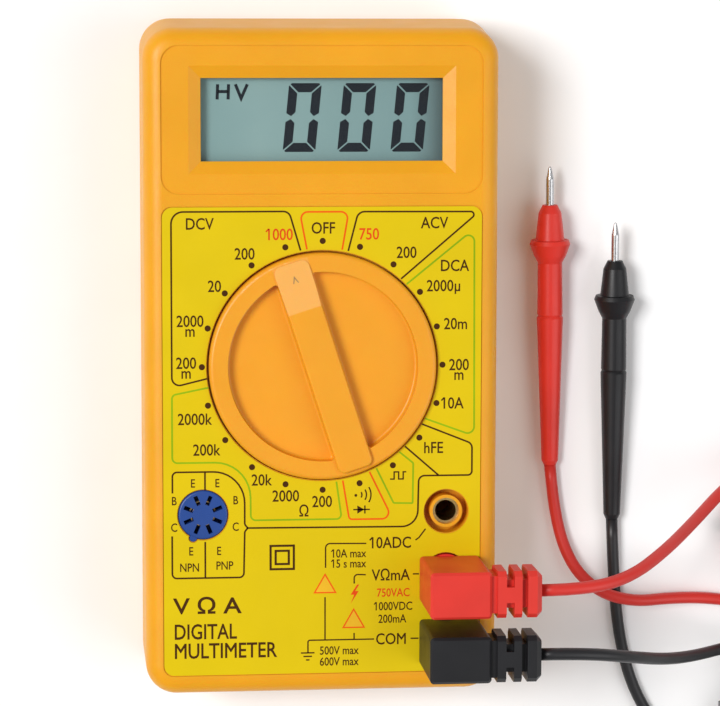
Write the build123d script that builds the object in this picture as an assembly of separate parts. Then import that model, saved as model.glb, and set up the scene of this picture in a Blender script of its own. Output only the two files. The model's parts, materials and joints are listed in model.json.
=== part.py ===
"""Pocket digital multimeter with its pair of test leads, in millimetres.

The meter lies on its back: +X right, +Y towards the display end, +Z out of the face.
The origin is the middle of the case in plan, on the surface that it lies on.
"""

import os
from math import atan2, cos, degrees, pi, radians, sin, tan

from build123d import *

# Case
CASE_WIDTH = 68.6
CASE_LENGTH = 131.0
CASE_DEPTH = 26.0
CASE_CORNER = 6.0
CASE_WALL = 2.0
FACE_WALL = 2.0
REAR_WALL = 2.0
FACE_EDGE_RADIUS = 3.5
REAR_EDGE_RADIUS = 2.0
PARTING_HEIGHT = 11.0
PARTING_CHAMFER = 0.25
END_SLOPE = 2.0
END_SLOPE_START = 12.5
TONGUE_THICKNESS = 0.9
TONGUE_HEIGHT = 1.2
SHELL_CLEARANCE = 0.1

# Sunk panel round the display, and the window in it
PANEL_WIDTH = 62.0
PANEL_LENGTH = 28.4
PANEL_CORNER = 3.5
PANEL_SINK = 0.3
DISPLAY_Y = 46.4
WINDOW_WIDTH = 46.6
WINDOW_LENGTH = 15.9
WINDOW_BEVEL = 2.4
WINDOW_BEVEL_DEPTH = 1.0
WINDOW_THICKNESS = 1.2
WINDOW_LEDGE = 2.0
LCD_WIDTH = 50.0
LCD_LENGTH = 23.0
LCD_THICKNESS = 2.4
LCD_GAP = 0.4
LCD_FRAME_WALL = 1.8
LCD_FIT = 0.2
ZEBRA_WIDTH = 2.2
ZEBRA_LENGTH = 44.0

# Printed face label in a shallow sink
LABEL_WIDTH = 62.0
LABEL_LENGTH = 91.5
LABEL_Y = -15.85
LABEL_CORNER = 2.0
LABEL_SINK = 0.3
LABEL_THICKNESS = 0.25
LABEL_MARGIN = 0.15

# Circuit board
BOARD_THICKNESS = 1.6
BOARD_FRONT = 16.6
BOARD_WIDTH = 63.2
BOARD_TOP_Y = 61.2
BOARD_STEP_Y = -34.2
BOARD_BOTTOM_Y = -62.0
BOARD_STEP_X = 18.2
BOARD_GAP = 0.2
BOARD_EDGE_GAP = 0.4
BOARD_SCREW_X = 28.8
BOARD_SCREW_ROWS = (-21.5, 24.6)
BOARD_BOSS_RADIUS = 2.3
BOARD_SCREW_RADIUS = 1.0
BOARD_SCREW_LENGTH = 6.0
BOARD_SCREW_HEAD_RADIUS = 1.9
BOARD_SCREW_HEAD_HEIGHT = 1.3
SCREW_CLEARANCE = 0.25

# Case screws, driven from the back
CASE_SCREW_PLACES = ((-29.9, -31.4), (29.6, -48.5))
CASE_SCREW_RADIUS = 1.1
CASE_SCREW_HEAD_RADIUS = 2.1
CASE_SCREW_HEAD_HEIGHT = 1.6
CASE_SCREW_SEAT = 8.0
CASE_SCREW_LENGTH = 13.0
CASE_SCREW_WELL_RADIUS = 2.3
CASE_POST_WALL = 0.9
CASE_BOSS_RADIUS = 2.0

# Selector knob and its detent
DIAL_Y = -1.0
KNOB_RADIUS = 22.0
KNOB_OPENING_GAP = 0.35
KNOB_RIM_RISE = 1.6
KNOB_EDGE_RADIUS = 0.8
KNOB_POCKET_RADIUS = 18.4
KNOB_POCKET_DEPTH = 2.4
KNOB_BAR_WIDTH = 6.9
KNOB_BAR_LENGTH = 42.0
KNOB_BAR_CORNER = 1.4
KNOB_BAR_RISE = 1.0
KNOB_POINTER_LENGTH = 9.3
KNOB_POINTER_DROP = 0.8
KNOB_FLANGE_RADIUS = 23.2
KNOB_FLANGE_THICKNESS = 1.4
KNOB_FLANGE_GAP = 0.4
ROTOR_RADIUS = 22.4
ROTOR_BOTTOM = 17.3
ROTOR_HOLLOW_RADIUS = 12.0
ROTOR_BOSS_RADIUS = 4.5
PIVOT_RADIUS = 2.5
PIVOT_BOTTOM = 14.2
RUNNING_FIT = 0.06
SWITCH_POSITIONS = 20
POINTER_ANGLE = 108.0
DETENT_CREST_RADIUS = 23.6
DETENT_RING_RADIUS = 25.8
DETENT_NOTCH_RADIUS = 1.65
DETENT_BALL_RADIUS = 1.5
DETENT_BALL_CLEARANCE = 0.1
DETENT_BALL_HEIGHT = 19.5
DETENT_BORE_RADIUS = 1.6
DETENT_BORE_BOTTOM = 13.5
DETENT_WIRE_RADIUS = 0.2
DETENT_COILS = 6
TRACK_THICKNESS = 0.1
TRACK_RINGS = ((7.0, 9.0), (10.5, 12.5), (14.0, 16.0))
PAD_RING = (17.4, 20.4)
WIPER_WIDTH = 1.8
WIPER_THICKNESS = 0.25
WIPER_GAP = 0.1
WIPER_TIP_RADIUS = 0.5
WIPER_ANGLES = (30.0, 150.0, 270.0)

# Input jacks, in a column down the right side
JACK_X = 24.2
JACK_TOP_Y = -29.8
JACK_PITCH = 12.5
JACK_NAMES = ("jack_ten_amp", "jack_volt_ohm", "jack_common")
JACK_BORE_RADIUS = 2.05
JACK_TUBE_WALL = 0.55
JACK_TUBE_BOTTOM = 13.4
JACK_MOUTH_THICKNESS = 0.9
JACK_BOSS_RADIUS = 3.2
JACK_GROOVE_RADIUS = 4.3
JACK_GROOVE_DEPTH = 4.0
JACK_HOUSING_WALL = 1.2
JACK_BOSS_SINK = 0.4

# Transistor test socket
SOCKET_X = -23.2
SOCKET_Y = -29.8
SOCKET_RADIUS = 4.8
SOCKET_FIT = 0.1
SOCKET_SLOTS = 8
SOCKET_SLOT_WIDTH = 0.8
SOCKET_SLOT_LENGTH = 1.9
SOCKET_SLOT_RADIUS = 3.0
SOCKET_SLOT_DEPTH = 4.0
SOCKET_KEY_RADIUS = 0.7
SOCKET_KEY_ORBIT = 4.9
SOCKET_KEY_ANGLE = 247.0
SOCKET_KEY_DEPTH = 1.5

# Shallow name-plate recess and grip grooves on the back
PLATE_WIDTH = 46.0
PLATE_LENGTH = 30.0
PLATE_Y = 24.0
PLATE_DEPTH = 0.4
GROOVE_ROWS = (-48.0, -45.0, -42.0, -39.0, -36.0)
GROOVE_LENGTH = 26.0
GROOVE_WIDTH = 1.3
GROOVE_DEPTH = 0.5

# Nine volt battery and its snap
BATTERY_LENGTH = 46.0
BATTERY_WIDTH = 26.2
BATTERY_THICKNESS = 17.0
BATTERY_CORNER = 2.5
BATTERY_LEFT = -31.0
BATTERY_Y = -47.9
BATTERY_BOTTOM = 2.2
BATTERY_STUD_PITCH = 12.7
BATTERY_STUD_RADII = (2.9, 3.7)
BATTERY_STUD_HEIGHT = 2.0
SNAP_THICKNESS = 3.0
SNAP_GAP = 0.05
SNAP_WIDTH = 25.0
SNAP_HEIGHT = 12.0
SNAP_STUD_FIT = 0.1
BATTERY_WIRE_RADIUS = 0.65
BATTERY_WIRE_REACH = 3.2
BATTERY_WIRE_PADS = (18.8, 21.0)
BATTERY_WIRE_LEVELS = (8.0, 11.0)
BATTERY_RIB_THICKNESS = 0.9
BATTERY_RIB_HEIGHT = 7.0

# Parts on the back of the board
FUSE_X = 5.0
FUSE_Y = -30.6
FUSE_RADIUS = 2.5
FUSE_LENGTH = 20.0
FUSE_CAP_LENGTH = 5.0
FUSE_CAP_WALL = 0.15
FUSE_GLASS_WALL = 0.7
FUSE_BOARD_GAP = 1.2
FUSE_CLIP_THICKNESS = 0.4
FUSE_CLIP_WIDTH = 4.0
BLOB_RADIUS = 6.5
BLOB_HEIGHT = 1.4
BLOB_Y = 34.0
RESISTOR_RADIUS = 1.1
RESISTOR_LENGTH = 6.2
RESISTOR_PITCH = 10.2
RESISTOR_LEAD_RADIUS = 0.3
RESISTOR_ROWS = 6
RESISTOR_ROW_PITCH = 3.4
FILM_CAP_SIZE = (7.2, 2.6, 6.0)
FILM_CAP_PLACES = ((-6.0, 18.5), (6.0, 18.5), (-24.0, 40.0))
ELECTROLYTIC_RADIUS = 2.5
ELECTROLYTIC_HEIGHT = 7.0
ELECTROLYTIC_PLACE = (-24.0, 48.0)
TRIMMER_PLACE = (22.0, 46.0)
TRIMMER_SIZE = 6.8
TRIMMER_HEIGHT = 3.6
TRIMMER_ROTOR_RADIUS = 1.8
TRIMMER_ROTOR_DEPTH = 1.6
TRIMMER_ROTOR_PROUD = 0.3
BUZZER_PLACE = (-14.0, 8.0)
BUZZER_RADIUS = 10.0
BUZZER_BRASS_THICKNESS = 0.3
BUZZER_CERAMIC_RADIUS = 7.0
BUZZER_CERAMIC_THICKNESS = 0.25
BUZZER_SEAT_HEIGHT = 1.4
BUZZER_SEAT_WIDTH = 1.6
BUZZER_WIRE_RADIUS = 0.5
SHUNT_RADIUS = 0.8
SHUNT_X = 29.6
SHUNT_ENDS_Y = (-38.5, -27.5)
SHUNT_HEIGHT = 7.0

# Plugs
PLUG_LENGTH = 11.8
PLUG_WIDTH = 9.0
PLUG_TOP = 44.0
PLUG_SIDE = -0.8
PLUG_OFFSET = 0.7
PLUG_FACE_GAP = 0.25
PLUG_EDGE = 0.5
PLUG_CORNER = 0.8
SKIRT_CLEARANCE = 0.25
SKIRT_LENGTH = 3.4
PIN_FIT = 0.05
PIN_BOTTOM = 14.6
PIN_TOP = 36.0
PIN_NOSE = 0.6
RELIEF_STEPS = (
    ("neck", 1.1, 7.2, 7.0),
    ("rib", 1.7, 9.0, 8.6),
    ("web", 1.5, 5.4, 5.4),
    ("rib", 1.5, 9.0, 8.6),
    ("web", 1.1, 5.4, 5.4),
    ("cap", 2.8, 9.0, 8.6),
)
RELIEF_BRIDGE_WIDTH = 3.0
RELIEF_CAP_BEVEL = 1.0
RELIEF_DROP = 4.6
CORD_STRAIGHT_OUT = 9.0

# Test leads
CORD_DIAMETER = 2.4
CORD_HEIGHT = CORD_DIAMETER / 2
COIL_RADIUS = 13.5
COIL_LAYER_TURNS = 3.25
COIL_LAYERS = 2
COIL_BAND_CORNER = 1.2
COIL_LIFT = 0.5
TIE_THICKNESS = 0.5
TIE_WIDTH = 3.2

# Probes, drawn along their own axis from the tail
PROBE_TAIL_RADIUS = 1.7
PROBE_TAIL_END_RADIUS = 1.3
PROBE_SEAM = 30.6
PROBE_BARREL_RADIUS = 2.55
PROBE_GUARD_START = 41.4
PROBE_GUARD_LENGTH = 4.6
PROBE_GUARD_RADIUS = 4.1
PROBE_NOSE_END = 53.1
PROBE_NOSE_RADIUS = 2.2
PROBE_LENGTH = 60.9
PROBE_PIN_RADIUS = 0.8
PROBE_PIN_SOCKET = 12.0

LEADS = {
    "red": {
        "jack": 1,
        "coil_centre": (103.5, -38.0),
        "probe_tail": (48.6, -24.6),
        "probe_heading": 91.0,
        "plug_run": (
            (59.0, -41.7, 35.4),
            (67.5, -38.0, 27.4),
            (75.5, -34.0, 17.2),
            (83.6, -28.6, 8.6),
            (93.0, -23.0, 4.9),
        ),
        "probe_run": (
            (93.0, -54.9, 1.4),
            (83.0, -53.0, 1.2),
            (73.8, -52.6, 2.4),
            (66.0, -52.9, 4.4),
            (58.6, -50.9, 4.4),
            (52.9, -45.4, 2.6),
            (49.6, -35.2, 1.3),
        ),
    },
    "black": {
        "jack": 2,
        "coil_centre": (103.5, -76.5),
        "probe_tail": (61.5, -35.9),
        "probe_heading": 90.5,
        "plug_run": (
            (59.0, -57.4, 35.2),
            (67.5, -60.0, 26.6),
            (75.5, -61.8, 16.4),
            (84.0, -62.4, 7.0),
            (93.8, -60.6, 4.7),
        ),
        "probe_run": (
            (93.2, -93.0, 1.3),
            (83.4, -89.6, 1.2),
            (74.2, -83.4, 1.2),
            (67.2, -73.8, 1.2),
            (63.6, -62.2, 1.2),
            (62.1, -49.0, 1.2),
        ),
    },
}

FACE = CASE_DEPTH
FACE_INSIDE = CASE_DEPTH - FACE_WALL
BOARD_BACK = BOARD_FRONT - BOARD_THICKNESS
KNOB_OPENING_RADIUS = KNOB_RADIUS + KNOB_OPENING_GAP
KNOB_RIM = FACE + KNOB_RIM_RISE
KNOB_BAR_TOP = KNOB_RIM + KNOB_BAR_RISE
KNOB_FLANGE_TOP = FACE_INSIDE - KNOB_FLANGE_GAP
KNOB_FLANGE_BOTTOM = KNOB_FLANGE_TOP - KNOB_FLANGE_THICKNESS
JACK_TUBE_RADIUS = JACK_BORE_RADIUS + JACK_TUBE_WALL
PIN_RADIUS = JACK_BORE_RADIUS - PIN_FIT
JACK_TUBE_TOP = FACE - JACK_BOSS_SINK - JACK_MOUTH_THICKNESS
COIL_REACH = COIL_LAYER_TURNS * CORD_DIAMETER / 2
COIL_BAND_WIDTH = 2 * COIL_REACH + CORD_DIAMETER
COIL_BAND_HEIGHT = COIL_LAYERS * CORD_DIAMETER
COIL_LOW_TURN = COIL_LIFT + CORD_HEIGHT
COIL_HIGH_TURN = COIL_LIFT + COIL_BAND_HEIGHT - CORD_HEIGHT
DETENT_BALL_ORBIT = DETENT_CREST_RADIUS - DETENT_BALL_RADIUS - DETENT_BALL_CLEARANCE


def place(x, y, z=0.0):
    return Pos(x, y, z)


def block(width, length, bottom, top, corner=0.0, x=0.0, y=0.0):
    """An upright block with rounded corners in plan."""
    outline = RectangleRounded(width, length, corner) if corner else Rectangle(width, length)
    return place(x, y, bottom) * extrude(outline, amount=top - bottom)


def disc(radius, bottom, top, x=0.0, y=0.0):
    return place(x, y, bottom) * extrude(Circle(radius), amount=top - bottom)


def ring(outer, inner, bottom, top, x=0.0, y=0.0):
    return place(x, y, bottom) * extrude(Circle(outer) - Circle(inner), amount=top - bottom)


def case_block(inset, bottom, top):
    """The case's plan outline, drawn in by an inset."""
    corner = max(CASE_CORNER - inset, 0.5)
    return block(CASE_WIDTH - 2 * inset, CASE_LENGTH - 2 * inset, bottom, top, corner)


def case_outline(inset, height):
    """The outline up in the front shell, where the display end slopes inwards."""
    corner = max(CASE_CORNER - inset, 0.5)
    pull = END_SLOPE * (height - END_SLOPE_START) / (FACE - END_SLOPE_START)
    outline = RectangleRounded(CASE_WIDTH - 2 * inset, CASE_LENGTH - 2 * inset - pull, corner)
    return place(0, -pull / 2, height) * outline


def sloped_block(inset, top):
    return loft([case_outline(inset, END_SLOPE_START), case_outline(inset, top)], ruled=True)


def jack_y(index):
    return JACK_TOP_Y - index * JACK_PITCH


def board_screw_places():
    return [(side * BOARD_SCREW_X, y) for side in (-1, 1) for y in BOARD_SCREW_ROWS]


def dial_turn(angle):
    """Turns something drawn along +X to an angle about the dial's centre."""
    return place(0, DIAL_Y) * Rot(0, 0, angle)


# Case shells


def window_opening():
    panel_floor = FACE - PANEL_SINK
    bevel_foot = panel_floor - WINDOW_BEVEL_DEPTH
    mouth = Rectangle(WINDOW_WIDTH + 2 * WINDOW_BEVEL, WINDOW_LENGTH + 2 * WINDOW_BEVEL)
    foot = Rectangle(WINDOW_WIDTH, WINDOW_LENGTH)
    bevel = loft([place(0, DISPLAY_Y, bevel_foot) * foot, place(0, DISPLAY_Y, panel_floor) * mouth])
    through = block(WINDOW_WIDTH, WINDOW_LENGTH, FACE_INSIDE - 1, bevel_foot, y=DISPLAY_Y)
    return bevel + through


def detent_ring():
    solid = ring(DETENT_RING_RADIUS, DETENT_CREST_RADIUS, ROTOR_BOTTOM, FACE_INSIDE, y=DIAL_Y)
    notch_orbit = DETENT_BALL_ORBIT + 0.6
    for index in range(SWITCH_POSITIONS):
        angle = radians(POINTER_ANGLE + index * 360 / SWITCH_POSITIONS)
        x = notch_orbit * cos(angle)
        y = DIAL_Y + notch_orbit * sin(angle)
        solid -= disc(DETENT_NOTCH_RADIUS, ROTOR_BOTTOM, KNOB_FLANGE_BOTTOM, x, y)
    return solid


def front_case():
    upper = sloped_block(0, FACE)
    upper = fillet(upper.faces().sort_by(Axis.Z)[-1].edges(), FACE_EDGE_RADIUS)
    lower = case_block(0, PARTING_HEIGHT, END_SLOPE_START)
    lower = chamfer(lower.faces().sort_by(Axis.Z)[0].edges(), PARTING_CHAMFER)
    shell = lower + upper
    shell -= case_block(CASE_WALL, PARTING_HEIGHT, END_SLOPE_START) + sloped_block(CASE_WALL, FACE_INSIDE)
    shell -= case_block(CASE_WALL - TONGUE_THICKNESS, PARTING_HEIGHT, PARTING_HEIGHT + TONGUE_HEIGHT + 0.2)
    shell += detent_ring()
    for x, y in board_screw_places():
        shell += disc(BOARD_BOSS_RADIUS, BOARD_FRONT, FACE_INSIDE, x, y)
        shell -= disc(BOARD_SCREW_RADIUS, BOARD_FRONT, FACE_INSIDE, x, y)
    for index in range(len(JACK_NAMES)):
        shell += disc(JACK_GROOVE_RADIUS + JACK_HOUSING_WALL, BOARD_FRONT, FACE_INSIDE, JACK_X, jack_y(index))
    for x, y in CASE_SCREW_PLACES:
        shell += disc(CASE_BOSS_RADIUS, BOARD_FRONT, FACE_INSIDE, x, y)
        shell -= disc(CASE_SCREW_RADIUS, BOARD_FRONT, FACE_INSIDE, x, y)
    for index in range(len(JACK_NAMES)):
        y = jack_y(index)
        groove_floor = FACE - JACK_GROOVE_DEPTH
        shell -= ring(JACK_GROOVE_RADIUS, JACK_BOSS_RADIUS, groove_floor, FACE, JACK_X, y)
        shell -= disc(JACK_BOSS_RADIUS, FACE - JACK_BOSS_SINK, FACE, JACK_X, y)
        shell -= disc(JACK_TUBE_RADIUS, BOARD_FRONT, FACE, JACK_X, y)
    shell -= disc(KNOB_OPENING_RADIUS, FACE_INSIDE, FACE, 0, DIAL_Y)
    shell -= disc(SOCKET_RADIUS + SOCKET_FIT, FACE_INSIDE, FACE, SOCKET_X, SOCKET_Y)
    shell -= socket_key(SOCKET_FIT)
    shell -= block(PANEL_WIDTH, PANEL_LENGTH, FACE - PANEL_SINK, FACE, PANEL_CORNER, y=DISPLAY_Y)
    shell -= window_opening()
    label_floor = FACE - LABEL_SINK
    shell -= block(LABEL_WIDTH, LABEL_LENGTH, label_floor, FACE, LABEL_CORNER, y=LABEL_Y)
    return shell


def screw_post(x, y):
    """Rises from the floor to the board, merged with the wall below the tongue's top only."""
    radius = CASE_SCREW_WELL_RADIUS + CASE_POST_WALL
    tongue_top = PARTING_HEIGHT + TONGUE_HEIGHT
    lower = disc(radius, REAR_WALL, PARTING_HEIGHT, x, y) & case_block(CASE_WALL - 0.5, 0, CASE_DEPTH)
    middle = disc(radius, PARTING_HEIGHT, tongue_top, x, y) & case_block(CASE_WALL - 0.3, 0, CASE_DEPTH)
    upper = disc(radius, tongue_top, BOARD_BACK - BOARD_GAP, x, y)
    return lower + middle + (upper & case_block(CASE_WALL + SHELL_CLEARANCE, 0, CASE_DEPTH))


def rear_case():
    shell = case_block(0, 0, PARTING_HEIGHT)
    shell = fillet(shell.faces().sort_by(Axis.Z)[0].edges(), REAR_EDGE_RADIUS)
    shell = chamfer(shell.faces().sort_by(Axis.Z)[-1].edges(), PARTING_CHAMFER)
    shell -= case_block(CASE_WALL, REAR_WALL, PARTING_HEIGHT)
    tongue_inset = CASE_WALL - TONGUE_THICKNESS + SHELL_CLEARANCE
    tongue_top = PARTING_HEIGHT + TONGUE_HEIGHT
    tongue = case_block(tongue_inset, PARTING_HEIGHT - 1, tongue_top)
    shell += tongue - case_block(CASE_WALL, PARTING_HEIGHT - 1, tongue_top)
    for x, y in CASE_SCREW_PLACES:
        shell += screw_post(x, y)
        shell -= disc(CASE_SCREW_WELL_RADIUS, 0, CASE_SCREW_SEAT, x, y)
        shell -= disc(CASE_SCREW_RADIUS + SCREW_CLEARANCE, CASE_SCREW_SEAT, BOARD_BACK, x, y)
    shell -= block(PLATE_WIDTH, PLATE_LENGTH, 0, PLATE_DEPTH, 2.0, y=PLATE_Y)
    for y in GROOVE_ROWS:
        shell -= block(GROOVE_LENGTH, GROOVE_WIDTH, 0, GROOVE_DEPTH, GROOVE_WIDTH / 2.2, y=y)
    seat_x, seat_y = BUZZER_PLACE
    seat_top = REAR_WALL + BUZZER_SEAT_HEIGHT
    shell += ring(BUZZER_RADIUS, BUZZER_RADIUS - BUZZER_SEAT_WIDTH, REAR_WALL, seat_top, seat_x, seat_y)
    rib_y = BATTERY_Y + BATTERY_WIDTH / 2 + SHELL_CLEARANCE + BATTERY_RIB_THICKNESS / 2
    rib_top = REAR_WALL + BATTERY_RIB_HEIGHT
    for x in (-18.0, 8.0):
        shell += block(12.0, BATTERY_RIB_THICKNESS, REAR_WALL, rib_top, x=x, y=rib_y)
    return shell


def face_label():
    bottom = FACE - LABEL_SINK
    width = LABEL_WIDTH - 2 * LABEL_MARGIN
    length = LABEL_LENGTH - 2 * LABEL_MARGIN
    label = block(width, length, bottom, bottom + LABEL_THICKNESS, LABEL_CORNER, y=LABEL_Y)
    label -= disc(KNOB_OPENING_RADIUS + LABEL_MARGIN, bottom, FACE, 0, DIAL_Y)
    label -= disc(SOCKET_RADIUS + SOCKET_FIT + LABEL_MARGIN, bottom, FACE, SOCKET_X, SOCKET_Y)
    label -= socket_key(SOCKET_FIT + LABEL_MARGIN)
    for index in range(len(JACK_NAMES)):
        label -= disc(JACK_GROOVE_RADIUS + LABEL_MARGIN, bottom, FACE, JACK_X, jack_y(index))
    return label


# Display


def display_window():
    width = WINDOW_WIDTH + 2 * WINDOW_LEDGE
    length = WINDOW_LENGTH + 2 * WINDOW_LEDGE
    return block(width, length, FACE_INSIDE - WINDOW_THICKNESS, FACE_INSIDE, y=DISPLAY_Y)


def lcd_glass():
    top = FACE_INSIDE - WINDOW_THICKNESS - LCD_GAP
    return block(LCD_WIDTH, LCD_LENGTH, top - LCD_THICKNESS, top, y=DISPLAY_Y)


def lcd_frame():
    top = FACE_INSIDE - WINDOW_THICKNESS - LCD_GAP
    inner_width = LCD_WIDTH + 2 * LCD_FIT
    inner_length = LCD_LENGTH + 2 * LCD_FIT
    outer_width = inner_width + 2 * LCD_FRAME_WALL
    outer_length = inner_length + 2 * LCD_FRAME_WALL
    frame = block(outer_width, outer_length, BOARD_FRONT, top, 1.0, y=DISPLAY_Y)
    return frame - block(inner_width, inner_length, BOARD_FRONT, top, y=DISPLAY_Y)


def zebra_strips():
    top = FACE_INSIDE - WINDOW_THICKNESS - LCD_GAP - LCD_THICKNESS
    reach = LCD_LENGTH / 2 - ZEBRA_WIDTH
    strips = [
        block(ZEBRA_LENGTH, ZEBRA_WIDTH, BOARD_FRONT, top, y=DISPLAY_Y + side * reach) for side in (-1, 1)
    ]
    return Compound(children=strips)


# Board and what sits on it


def circuit_board():
    upper_length = BOARD_TOP_Y - BOARD_STEP_Y
    upper_y = (BOARD_TOP_Y + BOARD_STEP_Y) / 2
    board = block(BOARD_WIDTH, upper_length, BOARD_BACK, BOARD_FRONT, y=upper_y)
    leg_width = BOARD_WIDTH / 2 - BOARD_STEP_X
    leg_length = BOARD_STEP_Y - BOARD_BOTTOM_Y
    leg_x = BOARD_STEP_X + leg_width / 2
    leg_y = (BOARD_STEP_Y + BOARD_BOTTOM_Y) / 2
    board += block(leg_width, leg_length, BOARD_BACK, BOARD_FRONT, x=leg_x, y=leg_y)
    board &= case_block(CASE_WALL + BOARD_EDGE_GAP, BOARD_BACK, BOARD_FRONT)
    board -= disc(PIVOT_RADIUS + RUNNING_FIT, BOARD_BACK, BOARD_FRONT, 0, DIAL_Y)
    for x, y in board_screw_places():
        board -= disc(BOARD_SCREW_RADIUS + SCREW_CLEARANCE, BOARD_BACK, BOARD_FRONT, x, y)
    for x, y in CASE_SCREW_PLACES:
        board -= disc(CASE_SCREW_RADIUS + SCREW_CLEARANCE, BOARD_BACK, BOARD_FRONT, x, y)
    for index in range(len(JACK_NAMES)):
        board -= disc(JACK_TUBE_RADIUS, BOARD_BACK, BOARD_FRONT, JACK_X, jack_y(index))
    return board


def switch_tracks():
    top = BOARD_FRONT + TRACK_THICKNESS
    pieces = [ring(outer, inner, BOARD_FRONT, top, y=DIAL_Y) for inner, outer in TRACK_RINGS]
    inner, outer = PAD_RING
    pad = place((inner + outer) / 2, 0, BOARD_FRONT) * extrude(Rectangle(outer - inner, 2.0), amount=TRACK_THICKNESS)
    for index in range(SWITCH_POSITIONS):
        pieces.append(dial_turn(POINTER_ANGLE + index * 360 / SWITCH_POSITIONS) * pad)
    return Compound(children=pieces)


def chip_blob():
    blob = disc(BLOB_RADIUS, BOARD_BACK - BLOB_HEIGHT, BOARD_BACK, 0, BLOB_Y)
    return fillet(blob.faces().sort_by(Axis.Z)[0].edges(), BLOB_HEIGHT * 0.8)


def bent_wire(points, radius, bend):
    """A round wire along straight runs with one bend radius."""
    path = FilletPolyline(*points, radius=bend)
    start = Plane(origin=path @ 0, z_dir=path % 0)
    return sweep(start * Circle(radius), path=path)


def resistor(x, y):
    axis_z = BOARD_BACK - RESISTOR_RADIUS - 0.6
    body = Rot(0, 90, 0) * Cylinder(RESISTOR_RADIUS, RESISTOR_LENGTH)
    body = fillet(body.edges(), 0.35)
    half = RESISTOR_PITCH / 2
    solid = place(x, y, axis_z) * body
    for side in (-1, 1):
        tail = [
            (x + side * RESISTOR_LENGTH / 2, y, axis_z),
            (x + side * half, y, axis_z),
            (x + side * half, y, BOARD_BACK),
        ]
        solid += bent_wire(tail, RESISTOR_LEAD_RADIUS, 0.6)
    return solid


def resistors():
    pieces = []
    for row in range(RESISTOR_ROWS):
        y = -18.0 + row * RESISTOR_ROW_PITCH
        pieces.append(resistor(11.5, y))
        pieces.append(resistor(23.0, y + 1.2))
    return Compound(children=pieces)


def film_capacitors():
    width, length, height = FILM_CAP_SIZE
    pieces = []
    for x, y in FILM_CAP_PLACES:
        box = block(width, length, BOARD_BACK - height, BOARD_BACK, x=x, y=y)
        pieces.append(fillet(box.edges().filter_by(Axis.Z), 0.6))
    return Compound(children=pieces)


def electrolytic_capacitor():
    x, y = ELECTROLYTIC_PLACE
    can = disc(ELECTROLYTIC_RADIUS, BOARD_BACK - ELECTROLYTIC_HEIGHT, BOARD_BACK, x, y)
    return fillet(can.faces().sort_by(Axis.Z)[0].edges(), 0.4)


def trimmer_body():
    x, y = TRIMMER_PLACE
    face = BOARD_BACK - TRIMMER_HEIGHT
    body = block(TRIMMER_SIZE, TRIMMER_SIZE, face, BOARD_BACK, 0.5, x, y)
    return body - disc(TRIMMER_ROTOR_RADIUS + RUNNING_FIT, face, face + TRIMMER_ROTOR_DEPTH, x, y)


def trimmer_rotor():
    x, y = TRIMMER_PLACE
    face = BOARD_BACK - TRIMMER_HEIGHT
    bottom = face - TRIMMER_ROTOR_PROUD
    rotor = disc(TRIMMER_ROTOR_RADIUS, bottom, face + TRIMMER_ROTOR_DEPTH - RUNNING_FIT, x, y)
    return rotor - block(2 * TRIMMER_ROTOR_RADIUS, 0.6, bottom, bottom + 0.6, x=x, y=y)


def fuse_axis_z():
    return BOARD_BACK - FUSE_BOARD_GAP - FUSE_RADIUS


def along_x(radius, length, x, y, z):
    return place(x, y, z) * Rot(0, 90, 0) * Cylinder(radius, length)


def fuse_tube():
    z = fuse_axis_z()
    outer = FUSE_RADIUS - FUSE_CAP_WALL
    tube = along_x(outer, FUSE_LENGTH - 2 * FUSE_CAP_WALL, FUSE_X, FUSE_Y, z)
    return tube - along_x(outer - FUSE_GLASS_WALL, FUSE_LENGTH, FUSE_X, FUSE_Y, z)


def fuse_caps():
    z = fuse_axis_z()
    inner = FUSE_RADIUS - FUSE_CAP_WALL
    caps = []
    for side in (-1, 1):
        x = FUSE_X + side * (FUSE_LENGTH - FUSE_CAP_LENGTH) / 2
        cap = along_x(FUSE_RADIUS, FUSE_CAP_LENGTH, x, FUSE_Y, z)
        caps.append(cap - along_x(inner, FUSE_CAP_LENGTH, x - side * FUSE_CAP_WALL, FUSE_Y, z))
    return Compound(children=caps)


def fuse_clips():
    z = fuse_axis_z()
    clips = []
    for side in (-1, 1):
        x = FUSE_X + side * (FUSE_LENGTH - FUSE_CAP_LENGTH) / 2
        band = along_x(FUSE_RADIUS + FUSE_CLIP_THICKNESS, FUSE_CLIP_WIDTH, x, FUSE_Y, z)
        band -= along_x(FUSE_RADIUS, FUSE_CLIP_WIDTH, x, FUSE_Y, z)
        band -= block(FUSE_CLIP_WIDTH, 2.6, z - 2 * FUSE_RADIUS, z, x=x, y=FUSE_Y)
        foot = block(FUSE_CLIP_WIDTH, 3.0, z + FUSE_RADIUS, BOARD_BACK, x=x, y=FUSE_Y)
        clips.append(band + foot)
    return Compound(children=clips)


def buzzer_disc():
    x, y = BUZZER_PLACE
    bottom = REAR_WALL + BUZZER_SEAT_HEIGHT
    return disc(BUZZER_RADIUS, bottom, bottom + BUZZER_BRASS_THICKNESS, x, y)


def buzzer_ceramic():
    x, y = BUZZER_PLACE
    bottom = REAR_WALL + BUZZER_SEAT_HEIGHT + BUZZER_BRASS_THICKNESS
    return disc(BUZZER_CERAMIC_RADIUS, bottom, bottom + BUZZER_CERAMIC_THICKNESS, x, y)


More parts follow.
